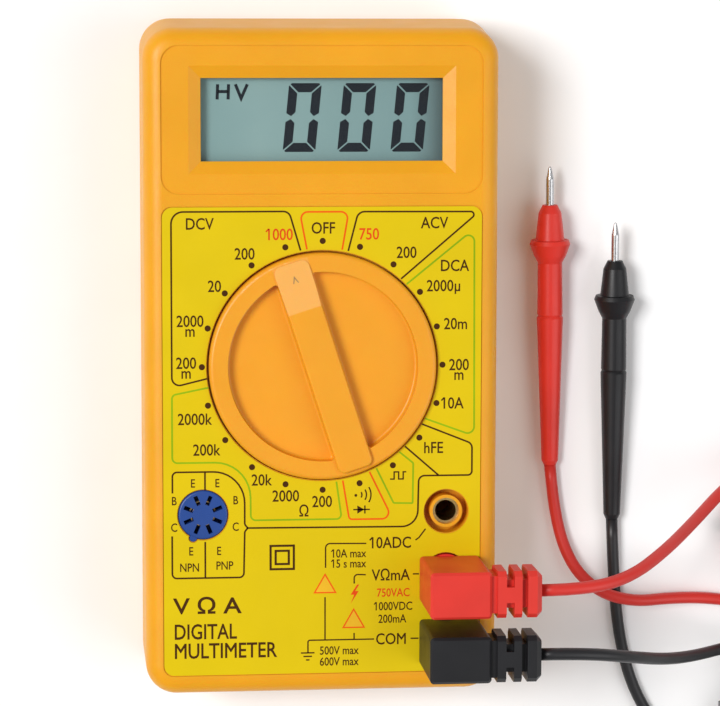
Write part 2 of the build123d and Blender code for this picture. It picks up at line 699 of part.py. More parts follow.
def buzzer_wires():
    x, y = BUZZER_PLACE
    brass_top = REAR_WALL + BUZZER_SEAT_HEIGHT + BUZZER_BRASS_THICKNESS
    ceramic_top = brass_top + BUZZER_CERAMIC_THICKNESS
    from_brass = [(x - 8.6, y, brass_top), (x - 8.6, y, 9.0), (x - 12.6, y + 5, 11.5), (x - 12.6, y + 5, BOARD_BACK)]
    from_ceramic = [(x, y + 3, ceramic_top), (x, y + 3, 8.5), (x - 5, y + 10, 11.0), (x - 5, y + 10, BOARD_BACK)]
    return Compound(children=[bent_wire(p, BUZZER_WIRE_RADIUS, 1.2) for p in (from_brass, from_ceramic)])


def shunt_wire():
    low, high = SHUNT_ENDS_Y
    crest = BOARD_BACK - SHUNT_HEIGHT
    points = [(SHUNT_X, low, BOARD_BACK), (SHUNT_X, low, crest), (SHUNT_X, high, crest), (SHUNT_X, high, BOARD_BACK)]
    return bent_wire(points, SHUNT_RADIUS, 3.0)


def board_screws():
    screws = []
    for x, y in board_screw_places():
        head = disc(BOARD_SCREW_HEAD_RADIUS, BOARD_BACK - BOARD_SCREW_HEAD_HEIGHT, BOARD_BACK, x, y)
        head = fillet(head.faces().sort_by(Axis.Z)[0].edges(), 0.5)
        for turn in (0, 90):
            slot = Rot(0, 0, turn) * Box(2.2, 0.5, 1.2)
            head -= place(x, y, BOARD_BACK - BOARD_SCREW_HEAD_HEIGHT) * slot
        screws.append(head + disc(BOARD_SCREW_RADIUS, BOARD_BACK, BOARD_BACK + BOARD_SCREW_LENGTH, x, y))
    return Compound(children=screws)


def case_screws():
    screws = []
    for x, y in CASE_SCREW_PLACES:
        bottom = CASE_SCREW_SEAT - CASE_SCREW_HEAD_HEIGHT
        head = disc(CASE_SCREW_HEAD_RADIUS, bottom, CASE_SCREW_SEAT, x, y)
        head = fillet(head.faces().sort_by(Axis.Z)[0].edges(), 0.6)
        for turn in (0, 90):
            head -= place(x, y, bottom) * Rot(0, 0, turn) * Box(2.8, 0.6, 1.6)
        screws.append(head + disc(CASE_SCREW_RADIUS, CASE_SCREW_SEAT, CASE_SCREW_SEAT + CASE_SCREW_LENGTH, x, y))
    return Compound(children=screws)


# Sockets


def jack_tube(index):
    return ring(JACK_TUBE_RADIUS, JACK_BORE_RADIUS, JACK_TUBE_BOTTOM, JACK_TUBE_TOP, JACK_X, jack_y(index))


def socket_slot_places():
    return [(index + 0.5) * 360 / SOCKET_SLOTS for index in range(SOCKET_SLOTS)]


def socket_key(extra=0.0):
    """The tab on the socket's edge, or with something extra the room for it."""
    x = SOCKET_X + SOCKET_KEY_ORBIT * cos(radians(SOCKET_KEY_ANGLE))
    y = SOCKET_Y + SOCKET_KEY_ORBIT * sin(radians(SOCKET_KEY_ANGLE))
    bottom = FACE - SOCKET_KEY_DEPTH - extra
    return disc(SOCKET_KEY_RADIUS + extra, bottom, FACE - (0 if extra else 0.1), x, y)


def transistor_socket():
    body = disc(SOCKET_RADIUS, BOARD_FRONT, FACE, SOCKET_X, SOCKET_Y)
    body = fillet(body.faces().sort_by(Axis.Z)[-1].edges(), 0.4)
    body += socket_key()
    for angle in socket_slot_places():
        slot = place(SOCKET_SLOT_RADIUS, 0) * Box(SOCKET_SLOT_LENGTH, SOCKET_SLOT_WIDTH, 2 * SOCKET_SLOT_DEPTH)
        body -= place(SOCKET_X, SOCKET_Y, FACE) * Rot(0, 0, angle) * slot
    return body


def transistor_contacts():
    floor = FACE - SOCKET_SLOT_DEPTH
    strip = place(SOCKET_SLOT_RADIUS - 0.6, 0, 0.9) * Box(0.3, SOCKET_SLOT_WIDTH, 1.8)
    pieces = [place(SOCKET_X, SOCKET_Y, floor) * Rot(0, 0, angle) * strip for angle in socket_slot_places()]
    return Compound(children=pieces)


# Battery


def battery_body():
    x = BATTERY_LEFT + BATTERY_LENGTH / 2
    top = BATTERY_BOTTOM + BATTERY_THICKNESS
    can = block(BATTERY_LENGTH, BATTERY_WIDTH, BATTERY_BOTTOM, top, x=x, y=BATTERY_Y)
    return fillet(can.edges().filter_by(Axis.X), BATTERY_CORNER)


def battery_stud(index, extra=0.0):
    radius = BATTERY_STUD_RADII[index]
    y = BATTERY_Y + (index - 0.5) * BATTERY_STUD_PITCH
    x = BATTERY_LEFT + BATTERY_LENGTH + BATTERY_STUD_HEIGHT / 2
    z = BATTERY_BOTTOM + BATTERY_THICKNESS / 2
    return along_x(radius + extra, BATTERY_STUD_HEIGHT + 2 * extra, x, y, z)


def battery_terminals():
    return Compound(children=[battery_stud(0), battery_stud(1)])


def battery_snap():
    x = BATTERY_LEFT + BATTERY_LENGTH + SNAP_GAP + SNAP_THICKNESS / 2
    z = BATTERY_BOTTOM + BATTERY_THICKNESS / 2
    snap = place(x, BATTERY_Y, z) * Box(SNAP_THICKNESS, SNAP_WIDTH, SNAP_HEIGHT)
    snap = fillet(snap.edges().filter_by(Axis.X), 3.0)
    for index in (0, 1):
        snap -= battery_stud(index, SNAP_STUD_FIT)
    return snap


def battery_wire(stud, pad_x, run_z):
    """Out of the snap, along the battery's end and up into the board."""
    x = BATTERY_LEFT + BATTERY_LENGTH + SNAP_GAP + SNAP_THICKNESS
    y = BATTERY_Y + (stud - 0.5) * BATTERY_STUD_PITCH
    z = BATTERY_BOTTOM + BATTERY_THICKNESS / 2
    pad_y = BOARD_STEP_Y + 1.4
    points = [
        (x, y, z),
        (x + BATTERY_WIRE_REACH, y, z),
        (x + BATTERY_WIRE_REACH, y + 5.0, run_z),
        (x + BATTERY_WIRE_REACH, pad_y - 3.0, run_z),
        (pad_x, pad_y, run_z + 1.6),
        (pad_x, pad_y, BOARD_BACK),
    ]
    return bent_wire(points, BATTERY_WIRE_RADIUS, 0.9)


def battery_pad():
    x = BATTERY_LEFT + BATTERY_LENGTH / 2
    bottom = BATTERY_BOTTOM + BATTERY_THICKNESS + 0.05
    return block(30.0, 16.0, bottom, FACE_INSIDE - 0.05, 1.0, x, BATTERY_Y)


# Selector


def knob_pocket(side):
    """One of the two D-shaped hollows beside the grip bar."""
    strip_width = 2 * KNOB_POCKET_RADIUS
    offset = side * (KNOB_BAR_WIDTH / 2 + strip_width / 2)
    outline = Circle(KNOB_POCKET_RADIUS) & (place(0, offset) * Rectangle(2 * strip_width, strip_width))
    outline = fillet(outline.vertices(), 0.6)
    pocket = place(0, 0, KNOB_RIM - KNOB_POCKET_DEPTH) * extrude(outline, amount=KNOB_POCKET_DEPTH + KNOB_BAR_RISE)
    return fillet(pocket.faces().sort_by(Axis.Z)[0].edges(), 0.5)


def pointer_wedge():
    """What the sloped facet takes off the bar's pointing end, drawn along +X."""
    tip = KNOB_BAR_LENGTH / 2
    start = tip - KNOB_POINTER_LENGTH
    profile = Polyline(
        (start, KNOB_BAR_TOP), (tip + 1, KNOB_BAR_TOP - KNOB_POINTER_DROP), (tip + 1, KNOB_BAR_TOP + 1), close=True
    )
    return extrude(Plane.XZ * make_face(profile), amount=KNOB_BAR_WIDTH, both=True)


def selector_knob():
    knob = disc(KNOB_RADIUS, KNOB_FLANGE_TOP - 0.2, KNOB_RIM)
    knob = fillet(knob.faces().sort_by(Axis.Z)[-1].edges(), KNOB_EDGE_RADIUS)
    bar = block(KNOB_BAR_LENGTH, KNOB_BAR_WIDTH, KNOB_RIM - 1, KNOB_BAR_TOP, KNOB_BAR_CORNER)
    bar = fillet(bar.faces().sort_by(Axis.Z)[-1].edges(), 0.45)
    knob += bar - pointer_wedge()
    knob -= knob_pocket(1)
    knob -= knob_pocket(-1)
    knob += disc(KNOB_FLANGE_RADIUS, KNOB_FLANGE_BOTTOM, KNOB_FLANGE_TOP)
    knob += disc(ROTOR_RADIUS, ROTOR_BOTTOM, KNOB_FLANGE_BOTTOM)
    knob -= ring(ROTOR_HOLLOW_RADIUS, ROTOR_BOSS_RADIUS, ROTOR_BOTTOM, KNOB_FLANGE_BOTTOM)
    knob += disc(PIVOT_RADIUS, PIVOT_BOTTOM, ROTOR_BOTTOM)
    bore_length = ROTOR_RADIUS - DETENT_BORE_BOTTOM
    bore_middle = DETENT_BORE_BOTTOM + bore_length / 2
    for angle in (90, 270):
        bore = Rot(0, 0, angle) * along_x(DETENT_BORE_RADIUS, bore_length, bore_middle, 0, DETENT_BALL_HEIGHT)
        knob -= bore
    return dial_turn(POINTER_ANGLE) * knob


def knob_wipers():
    pieces = []
    inner = TRACK_RINGS[0][0] + 1.0
    outer = PAD_RING[1] - 1.0
    tip_bottom = BOARD_FRONT + TRACK_THICKNESS + WIPER_GAP
    strip_bottom = ROTOR_BOTTOM - WIPER_THICKNESS
    middle = (ROTOR_HOLLOW_RADIUS + outer + 1.0) / 2
    for angle in WIPER_ANGLES:
        strip = block(outer - inner + 2, WIPER_WIDTH, strip_bottom, ROTOR_BOTTOM, x=(inner + outer) / 2)
        for x in (inner, middle, outer):
            strip += disc(WIPER_TIP_RADIUS, tip_bottom, strip_bottom, x, 0)
        pieces.append(dial_turn(angle) * strip)
    return Compound(children=pieces)


def detent_balls():
    ball = place(DETENT_BALL_ORBIT, 0, DETENT_BALL_HEIGHT) * Sphere(DETENT_BALL_RADIUS)
    return Compound(children=[dial_turn(POINTER_ANGLE + side) * ball for side in (90, 270)])


def detent_springs():
    """Coil springs in the knob's bores, each pushing a ball outwards."""
    length = DETENT_BALL_ORBIT - DETENT_BALL_RADIUS - DETENT_BORE_BOTTOM - 2 * DETENT_WIRE_RADIUS - 0.1
    radius = DETENT_BORE_RADIUS - DETENT_WIRE_RADIUS - 0.1
    path = Helix(pitch=length / DETENT_COILS, height=length, radius=radius)
    start = Plane(origin=path @ 0, z_dir=path % 0)
    coil = sweep(start * Circle(DETENT_WIRE_RADIUS), path=path, is_frenet=True)
    foot = DETENT_BORE_BOTTOM + DETENT_WIRE_RADIUS + 0.05
    laid = place(foot, 0, DETENT_BALL_HEIGHT) * Rot(0, 90, 0) * coil
    return Compound(children=[dial_turn(POINTER_ANGLE + side) * laid for side in (90, 270)])


# Plugs


def plug_left():
    return JACK_X + PLUG_OFFSET - PLUG_LENGTH / 2


def plug_y(index):
    """The grip stands a little to one side of its pin."""
    return jack_y(index) + PLUG_SIDE


def plug_body(index):
    y = jack_y(index)
    bottom = FACE + PLUG_FACE_GAP
    body = block(PLUG_LENGTH, PLUG_WIDTH, bottom, PLUG_TOP, PLUG_CORNER, JACK_X + PLUG_OFFSET, plug_y(index))
    body = chamfer(body.faces().sort_by(Axis.Z)[-1].edges(), PLUG_EDGE)
    skirt_outer = JACK_GROOVE_RADIUS - SKIRT_CLEARANCE
    skirt_inner = JACK_BOSS_RADIUS + SKIRT_CLEARANCE
    body += ring(skirt_outer, skirt_inner, FACE - SKIRT_LENGTH, bottom, JACK_X, y)
    return body - disc(PIN_RADIUS, bottom, PIN_TOP, JACK_X, y)


def plug_pin(index):
    pin = disc(PIN_RADIUS, PIN_BOTTOM, PIN_TOP, JACK_X, jack_y(index))
    return chamfer(pin.faces().sort_by(Axis.Z)[0].edges(), PIN_NOSE)


def relief_height():
    return PLUG_TOP - RELIEF_DROP


def relief_end():
    return plug_left() + PLUG_LENGTH + sum(step[1] for step in RELIEF_STEPS)


def plug_strain_relief(index):
    """Ribbed sleeve that leaves the plug's side along +X."""
    x = plug_left() + PLUG_LENGTH
    y, z = plug_y(index), relief_height()
    solid = None
    bridge = None
    for kind, length, width, height in RELIEF_STEPS:
        piece = place(x + length / 2, y, z) * Box(length, width, height)
        if kind == "rib":
            piece = chamfer(piece.edges().filter_by(Axis.X), 0.9)
        if kind == "cap":
            piece = chamfer(piece.edges().filter_by(Axis.X), 0.9)
            piece = chamfer(piece.faces().sort_by(Axis.X)[-1].edges(), RELIEF_CAP_BEVEL)
        if kind == "web" and bridge is None:
            bridge = place(x + length / 2, y, z) * Box(length, RELIEF_BRIDGE_WIDTH, RELIEF_STEPS[1][3])
            piece += bridge
        solid = piece if solid is None else solid + piece
        x += length
    return solid


# Cords


def cord_path(points):
    """Straight runs joined by tangent arcs, each as large as its two runs allow."""
    spots = [Vector(*point) for point in points]
    radii = []
    for before, here, after in zip(spots, spots[1:], spots[2:]):
        shorter = min((here - before).length, (after - here).length)
        turn = (here - before).get_angle(after - here)
        radii.append(0.45 * shorter / tan(radians(turn / 2)))
    print("  bend radii", [round(radius, 1) for radius in radii])
    return FilletPolyline(*spots, radius=radii)


def cord_tube(points):
    path = cord_path(points)
    start = Plane(origin=path @ 0, z_dir=path % 0)
    tube = sweep(start * Circle(CORD_DIAMETER / 2), path=path)
    section = pi * CORD_DIAMETER**2 / 4
    print("  length", round(path.length, 1), "volume share", round(tube.volume / (section * path.length), 4))
    return tube


def plug_run_points(lead):
    """Straight out of the strain relief, then down to the top of the coil."""
    y, z = plug_y(lead["jack"]), relief_height()
    start = (relief_end(), y, z)
    straight = (relief_end() + CORD_STRAIGHT_OUT, y, z)
    coil_x, coil_y = lead["coil_centre"]
    end = (coil_x, coil_y + COIL_RADIUS + COIL_REACH, COIL_HIGH_TURN)
    return [start, straight, *lead["plug_run"], end]


def probe_run_points(lead):
    """From the foot of the coil to the probe's tail."""
    x, y = lead["coil_centre"]
    tail_x, tail_y = lead["probe_tail"]
    tail = (tail_x, tail_y, probe_tail_height())
    return [(x, y - COIL_RADIUS - COIL_REACH, COIL_LOW_TURN), *lead["probe_run"], tail]


def cord_coil(lead):
    x, y = lead["coil_centre"]
    half = COIL_BAND_WIDTH / 2
    band = ring(COIL_RADIUS + half, COIL_RADIUS - half, COIL_LIFT, COIL_LIFT + COIL_BAND_HEIGHT, x, y)
    return fillet(band.edges(), COIL_BAND_CORNER)


def coil_ties(lead):
    """Two flat ties, each once round the coil's band."""
    x, y = lead["coil_centre"]
    inner_width = COIL_BAND_WIDTH + 0.02
    top = COIL_LIFT + COIL_BAND_HEIGHT + 0.01
    ties = []
    for side in (-1, 1):
        outer = RectangleRounded(inner_width + 2 * TIE_THICKNESS, top + TIE_THICKNESS, COIL_BAND_CORNER + TIE_THICKNESS)
        inner = place(0, 0) * RectangleRounded(inner_width, top - COIL_LIFT + 0.01, COIL_BAND_CORNER)
        loop = extrude(Plane.XZ * (outer - inner), amount=TIE_WIDTH / 2, both=True)
        middle = (top + TIE_THICKNESS) / 2
        tie = place(x + side * COIL_RADIUS, y, middle) * loop
        ties.append(tie - cord_coil(lead))
    return Compound(children=ties)


# Probes


def probe_pitch():
    """The probe lies on its guard and on its tail."""
    rise = PROBE_GUARD_RADIUS - PROBE_TAIL_RADIUS
    return atan2(rise, PROBE_GUARD_START + PROBE_GUARD_LENGTH)


def probe_tail_height():
    return PROBE_TAIL_RADIUS / cos(probe_pitch())


def probe_plane(lead):
    x, y = lead["probe_tail"]
    heading = radians(lead["probe_heading"])
    pitch = probe_pitch()
    direction = (cos(heading) * cos(pitch), sin(heading) * cos(pitch), sin(pitch))
    return Plane(origin=(x, y, probe_tail_height()), z_dir=direction)


def turned(profile):
    """A solid of revolution from (radius, distance along the axis) points."""
    outline = make_face(Polyline(*[(radius, 0, along) for radius, along in profile], close=True))
    return revolve(outline, axis=Axis.Z)


def probe_handle():
    profile = [
        (0, 0),
        (PROBE_TAIL_END_RADIUS, 0),
        (PROBE_TAIL_RADIUS, 0.9),
        (PROBE_BARREL_RADIUS + 0.1, PROBE_SEAM - 0.4),
        (PROBE_BARREL_RADIUS - 0.1, PROBE_SEAM),
        (0, PROBE_SEAM),
    ]
    return turned(profile)


def probe_barrel():
    """Finger guard and nose, moulded round the needle."""
    guard_end = PROBE_GUARD_START + PROBE_GUARD_LENGTH
    profile = [
        (0, PROBE_SEAM),
        (PROBE_BARREL_RADIUS - 0.15, PROBE_SEAM),
        (PROBE_BARREL_RADIUS, PROBE_SEAM + 0.4),
        (PROBE_BARREL_RADIUS - 0.1, PROBE_GUARD_START),
        (PROBE_GUARD_RADIUS - 0.9, PROBE_GUARD_START + 1.4),
        (PROBE_GUARD_RADIUS, guard_end - 0.8),
        (PROBE_GUARD_RADIUS - 0.3, guard_end),
        (PROBE_NOSE_RADIUS + 0.7, guard_end + 0.1),
        (PROBE_NOSE_RADIUS + 0.1, PROBE_NOSE_END - 1.6),
        (PROBE_NOSE_RADIUS - 0.7, PROBE_NOSE_END),
        (PROBE_PIN_RADIUS, PROBE_NOSE_END),
        (PROBE_PIN_RADIUS, PROBE_NOSE_END - PROBE_PIN_SOCKET),
        (0, PROBE_NOSE_END - PROBE_PIN_SOCKET),
    ]
    return turned(profile)


def probe_tip():
    profile = [
        (0, PROBE_NOSE_END - PROBE_PIN_SOCKET),
        (PROBE_PIN_RADIUS, PROBE_NOSE_END - PROBE_PIN_SOCKET),
        (PROBE_PIN_RADIUS, PROBE_LENGTH - 2.6),
        (0.3, PROBE_LENGTH - 0.3),
        (0, PROBE_LENGTH),
    ]
    return turned(profile)


def meter_nodes():
    nodes = {
        "front_case": front_case(),
        "rear_case": rear_case(),
        "face_label": face_label(),
        "display_window": display_window(),
        "lcd_glass": lcd_glass(),
        "lcd_frame": lcd_frame(),
        "zebra_strips": zebra_strips(),
        "circuit_board": circuit_board(),
        "switch_tracks": switch_tracks(),
        "chip_blob": chip_blob(),
        "resistors": resistors(),
        "film_capacitors": film_capacitors(),
        "electrolytic_capacitor": electrolytic_capacitor(),
        "trimmer_body": trimmer_body(),
        "trimmer_rotor": trimmer_rotor(),
        "fuse_tube": fuse_tube(),
        "fuse_caps": fuse_caps(),
        "fuse_clips": fuse_clips(),
        "shunt_wire": shunt_wire(),
        "buzzer_disc": buzzer_disc(),
        "buzzer_ceramic": buzzer_ceramic(),
        "buzzer_wires": buzzer_wires(),
        "board_screws": board_screws(),
        "case_screws": case_screws(),
        "transistor_socket": transistor_socket(),
        "transistor_contacts": transistor_contacts(),
        "battery_body": battery_body(),
        "battery_terminals": battery_terminals(),
        "battery_snap": battery_snap(),
        "battery_wire_red": battery_wire(1, BATTERY_WIRE_PADS[1], BATTERY_WIRE_LEVELS[1]),
        "battery_wire_black": battery_wire(0, BATTERY_WIRE_PADS[0], BATTERY_WIRE_LEVELS[0]),
        "battery_pad": battery_pad(),
        "selector_knob": selector_knob(),
        "knob_wipers": knob_wipers(),
        "detent_balls": detent_balls(),
        "detent_springs": detent_springs(),
    }
    for index, name in enumerate(JACK_NAMES):
        nodes[name] = jack_tube(index)
    return nodes


def lead_nodes(colour, lead):
    axis = probe_plane(lead)
    print(colour, "lead, plug run")
    plug_run = cord_tube(plug_run_points(lead))
    print(colour, "lead, probe run")
    probe_run = cord_tube(probe_run_points(lead))
    return {
        colour + "_plug_body": plug_body(lead["jack"]),
        colour + "_plug_pin": plug_pin(lead["jack"]),
        colour + "_plug_strain_relief": plug_strain_relief(lead["jack"]),
        colour + "_cord_plug_run": plug_run,
        colour + "_cord_coil": cord_coil(lead),
        colour + "_coil_ties": coil_ties(lead),
        colour + "_cord_probe_run": probe_run,
        colour + "_probe_handle": axis * probe_handle(),
        colour + "_probe_barrel": axis * probe_barrel(),
        colour + "_probe_tip": axis * probe_tip(),
    }


def main():
    os.makedirs("parts", exist_ok=True)
    nodes = meter_nodes()
    for colour, lead in LEADS.items():
        nodes.update(lead_nodes(colour, lead))
    for name, solid in nodes.items():
        export_step(solid, "parts/" + name + ".step")
    print(len(nodes), "nodes written")


main()
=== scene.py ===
"""Looks of a pocket digital multimeter and its two test leads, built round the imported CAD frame."""

import json
import math

import bmesh
import bpy
from mathutils import Matrix, Vector


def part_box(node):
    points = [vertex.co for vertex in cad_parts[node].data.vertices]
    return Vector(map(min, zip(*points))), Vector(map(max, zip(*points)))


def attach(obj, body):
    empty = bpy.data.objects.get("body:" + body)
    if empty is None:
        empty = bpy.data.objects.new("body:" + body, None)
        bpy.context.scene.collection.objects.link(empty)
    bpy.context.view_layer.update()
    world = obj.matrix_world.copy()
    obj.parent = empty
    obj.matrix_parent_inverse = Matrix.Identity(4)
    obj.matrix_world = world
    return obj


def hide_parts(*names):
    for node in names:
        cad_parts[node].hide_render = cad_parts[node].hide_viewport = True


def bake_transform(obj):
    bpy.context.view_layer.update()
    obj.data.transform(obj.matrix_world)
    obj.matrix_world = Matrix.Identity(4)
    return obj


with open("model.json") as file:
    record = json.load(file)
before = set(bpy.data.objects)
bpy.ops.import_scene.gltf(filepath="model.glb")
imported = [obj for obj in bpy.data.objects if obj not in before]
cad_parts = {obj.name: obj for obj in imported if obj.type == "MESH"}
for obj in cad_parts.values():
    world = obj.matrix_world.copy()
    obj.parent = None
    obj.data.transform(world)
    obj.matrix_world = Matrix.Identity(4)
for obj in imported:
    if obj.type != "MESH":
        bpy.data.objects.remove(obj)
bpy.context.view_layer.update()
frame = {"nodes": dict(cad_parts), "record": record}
MM = 0.001

# Camera, nearly straight above the face: its place in millimetres, and its axes
CAMERA_PLACE = (-50.3, 69.2, 593.2)
CAMERA_FORWARD = (0.1002, -0.118, -0.9879)
CAMERA_RIGHT = (0.9949, 0.002, 0.1007)
CAMERA_LENS = 148.6
CAMERA_SENSOR = 36.0

# Leads: the same route as the CAD's, in millimetres
CORD_DIAMETER = 2.4
CORD_SIDES = 14
COIL_RADIUS = 13.5
COIL_LAYER_TURNS = 3.25
COIL_POINTS = 16
COIL_LIFT = 0.5
STRAIGHT_OUT = 9.0
LEADS = {
    "red": {
        "coil_centre": (103.5, -38.0),
        "plug_run": (
            (59.0, -41.7, 35.4),
            (67.5, -38.0, 27.4),
            (75.5, -34.0, 17.2),
            (83.6, -28.6, 8.6),
            (93.0, -23.0, 4.9),
        ),
        "probe_run": (
            (93.0, -54.9, 1.4),
            (83.0, -53.0, 1.2),
            (73.8, -52.6, 2.4),
            (66.0, -52.9, 4.4),
            (58.6, -50.9, 4.4),
            (52.9, -45.4, 2.6),
            (49.6, -35.2, 1.3),
        ),
        "probe_tail": (48.6, -24.6, 1.7),
    },
    "black": {
        "coil_centre": (103.5, -76.5),
        "plug_run": (
            (59.0, -57.4, 35.2),
            (67.5, -60.0, 26.6),
            (75.5, -61.8, 16.4),
            (84.0, -62.4, 7.0),
            (93.8, -60.6, 4.7),
        ),
        "probe_run": (
            (93.2, -93.0, 1.3),
            (83.4, -89.6, 1.2),
            (74.2, -83.4, 1.2),
            (67.2, -73.8, 1.2),
            (63.6, -62.2, 1.2),
            (62.1, -49.0, 1.2),
        ),
        "probe_tail": (61.5, -35.9, 1.7),
    },
}

# Print on the face, in millimetres, drawn round and then squeezed a little in width
DIAL_Y = -1.0
DIAL_CLEAR_RADIUS = 22.8
DOT_ORBIT = 24.2
DOT_RING_SQUEEZE = 0.98
DOT_RADIUS = 0.6
SWITCH_POSITIONS = 20
LINE = 0.33
THIN_LINE = 0.27
HEAVY_LINE = 0.43
PRINT_SQUEEZE = 0.983
INK_THICKNESS = 0.02
CAPITALS = 2.15
SMALL_CAPITALS = 1.6
TITLE_CAPITALS = 2.9
CONDENSE = 0.84
SMALL_CONDENSE = 0.8
BOX_LEFT = -29.6
BOX_TOP = 28.9

# Digits of the display, in millimetres
DIGIT_LEFTS = (-7.45, 3.1, 13.4)
DIGIT_BOTTOM = 40.1
DIGIT_WIDTH = 6.3
DIGIT_HEIGHT = 13.2
DIGIT_STROKE = 1.75
DIGIT_SLANT = 0.098
DIGIT_GAP = 0.17
DIGIT_CORNER = 0.35
SIGN_LINE = 0.6
# width of the painted shadow line at the display glass's left end
LEFT_SHADOW_LINE = 0.9
DISPLAY_LAYER_THICKNESS = 0.01

# Knob's pointer: its sloped end is painted a paler orange, a painted highlight for the light on that facet,
# and carries a small moulded arrow drawn as a line of painted shade
POINTER_ANGLE = 108.0
TIP_START = 11.7
TIP_END = 21.2
TIP_HALF_WIDTH = 3.5
TIP_FLOOR = 27.7
TIP_CEILING = 40.0
ARROW_REACH = 17.4
ARROW_DEPTH = 0.46
ARROW_LINE = 0.2

# Brushed panel round the display, and the display glass, in millimetres
PANEL_HALF_WIDTH = 31.0
PANEL_BOTTOM = 32.0
PANEL_TOP = 60.0
GLASS_HALF_WIDTH = 24.0

# Studio, in metres and watts
KEY_PLACE = (-1.25, 0.4, 1.9)
KEY_SIZE = 0.8
KEY_POWER = 41.0
FILL_PLACE = (1.5, -0.5, 1.6)
FILL_SIZE = 1.8
FILL_POWER = 16.5
WORLD_STRENGTH = 0.33
FLOOR_HALF_WIDTH = 3.0
FLOOR_WHITE = 0.95


# Materials


class Graph:
    """Short names for building one material's nodes."""

    def __init__(self, name):
        self.material = bpy.data.materials.new(name)
        self.material.use_nodes = True
        self.tree = self.material.node_tree
        self.shader = self.tree.nodes["Principled BSDF"]
        self.place = self.node("ShaderNodeTexCoord").outputs["Object"]

    def node(self, kind, **settings):
        made = self.tree.nodes.new(kind)
        for key, value in settings.items():
            setattr(made, key, value)
        return made

    def link(self, start, end):
        self.tree.links.new(start, end)

    def stretched(self, scale):
        """Object coordinates, scaled axis by axis."""
        mapping = self.node("ShaderNodeMapping")
        mapping.inputs["Scale"].default_value = scale
        self.link(self.place, mapping.inputs["Vector"])
        return mapping.outputs["Vector"]

    def noise(self, size_mm, detail=3.0, vector=None):
        made = self.node("ShaderNodeTexNoise")
        made.inputs["Scale"].default_value = 1 / (size_mm * MM)
        made.inputs["Detail"].default_value = detail
        self.link(vector or self.place, made.inputs["Vector"])
        return made.outputs["Fac"]

    def ramp(self, value, *stops):
        made = self.node("ShaderNodeValToRGB")
        elements = made.color_ramp.elements
        while len(elements) < len(stops):
            elements.new(0.5)
        for element, (at, colour) in zip(elements, stops):
            element.position = at
            element.color = (*colour, 1.0)
        self.link(value, made.inputs["Fac"])
        return made.outputs["Color"]

    def math(self, operation, first, second):
        made = self.node("ShaderNodeMath", operation=operation)
        for socket, value in zip(made.inputs, (first, second)):
            if isinstance(value, (int, float)):
                socket.default_value = value
            else:
                self.link(value, socket)
        return made.outputs["Value"]

    def between(self, value, low, high, soft):
        """1 inside low to high, falling to 0 over soft."""
        rise = self.node("ShaderNodeMapRange", interpolation_type="SMOOTHSTEP")
        fall = self.node("ShaderNodeMapRange", interpolation_type="SMOOTHSTEP")
        for made, start, end in ((rise, low - soft, low), (fall, high + soft, high)):
            made.inputs["From Min"].default_value = start
            made.inputs["From Max"].default_value = end
            self.link(value, made.inputs["Value"])
        return self.math("MULTIPLY", rise.outputs["Result"], fall.outputs["Result"])

    def mix(self, share, first, second):
        made = self.node("ShaderNodeMix", data_type="RGBA")
        self.link(share, made.inputs["Factor"])
        for socket, value in ((made.inputs[6], first), (made.inputs[7], second)):
            if isinstance(value, tuple):
                socket.default_value = (*value, 1.0)
            else:
                self.link(value, socket)
        return made.outputs[2]

    def range_of(self, value, low, high):
        made = self.node("ShaderNodeMapRange")
        made.inputs["To Min"].default_value = low
        made.inputs["To Max"].default_value = high
        self.link(value, made.inputs["Value"])
        return made.outputs["Result"]

    def bump(self, height, depth_mm):
        made = self.node("ShaderNodeBump")
        made.inputs["Distance"].default_value = depth_mm * MM
        self.link(height, made.inputs["Height"])
        self.link(made.outputs["Normal"], self.shader.inputs["Normal"])

    def set(self, **values):
        for name, value in values.items():
            self.shader.inputs[name.replace("_", " ")].default_value = value


def shade(colour, factor):
    return tuple(min(1.0, channel * factor) for channel in colour)


def moulded(name, colour, rough=0.42, grain_mm=0.35, grain_depth=0.012, vary=0.06, **values):
    """Moulded plastic or rubber: faint mottling, a fine grain and uneven gloss."""
    graph = Graph(name)
    clouds = graph.noise(14.0, 4.0)
    tint = graph.ramp(clouds, (0.3, shade(colour, 1.0 - vary)), (0.7, shade(colour, 1.0 + vary)))
    graph.link(tint, graph.shader.inputs["Base Color"])
    gloss = graph.noise(5.0, 5.0)
    graph.link(graph.range_of(gloss, rough - 0.07, rough + 0.09), graph.shader.inputs["Roughness"])
    graph.bump(graph.noise(grain_mm, 2.0), grain_depth)
    graph.set(**values)
    return graph


def metal(name, colour, rough, brush=(1.0, 1.0, 1.0)):
    """Metal with fine turning or brushing marks and a few duller patches."""
    graph = Graph(name)
    marks = graph.noise(0.25, 3.0, graph.stretched(brush))
    patches = graph.noise(3.0, 4.0)
    tint = graph.ramp(patches, (0.3, shade(colour, 0.82)), (0.65, colour))
    graph.link(tint, graph.shader.inputs["Base Color"])
    graph.link(graph.range_of(marks, rough - 0.1, rough + 0.14), graph.shader.inputs["Roughness"])
    graph.bump(marks, 0.006)
    graph.set(Metallic=1.0)
    return graph


def soft_light_through(graph):
    """Lets a little light travel under the surface, so that shadows in it keep their colour."""
    graph.set(Subsurface_Weight=0.25, Subsurface_Scale=0.0016)
    graph.shader.inputs["Subsurface Radius"].default_value = (1.0, 0.34, 0.05)


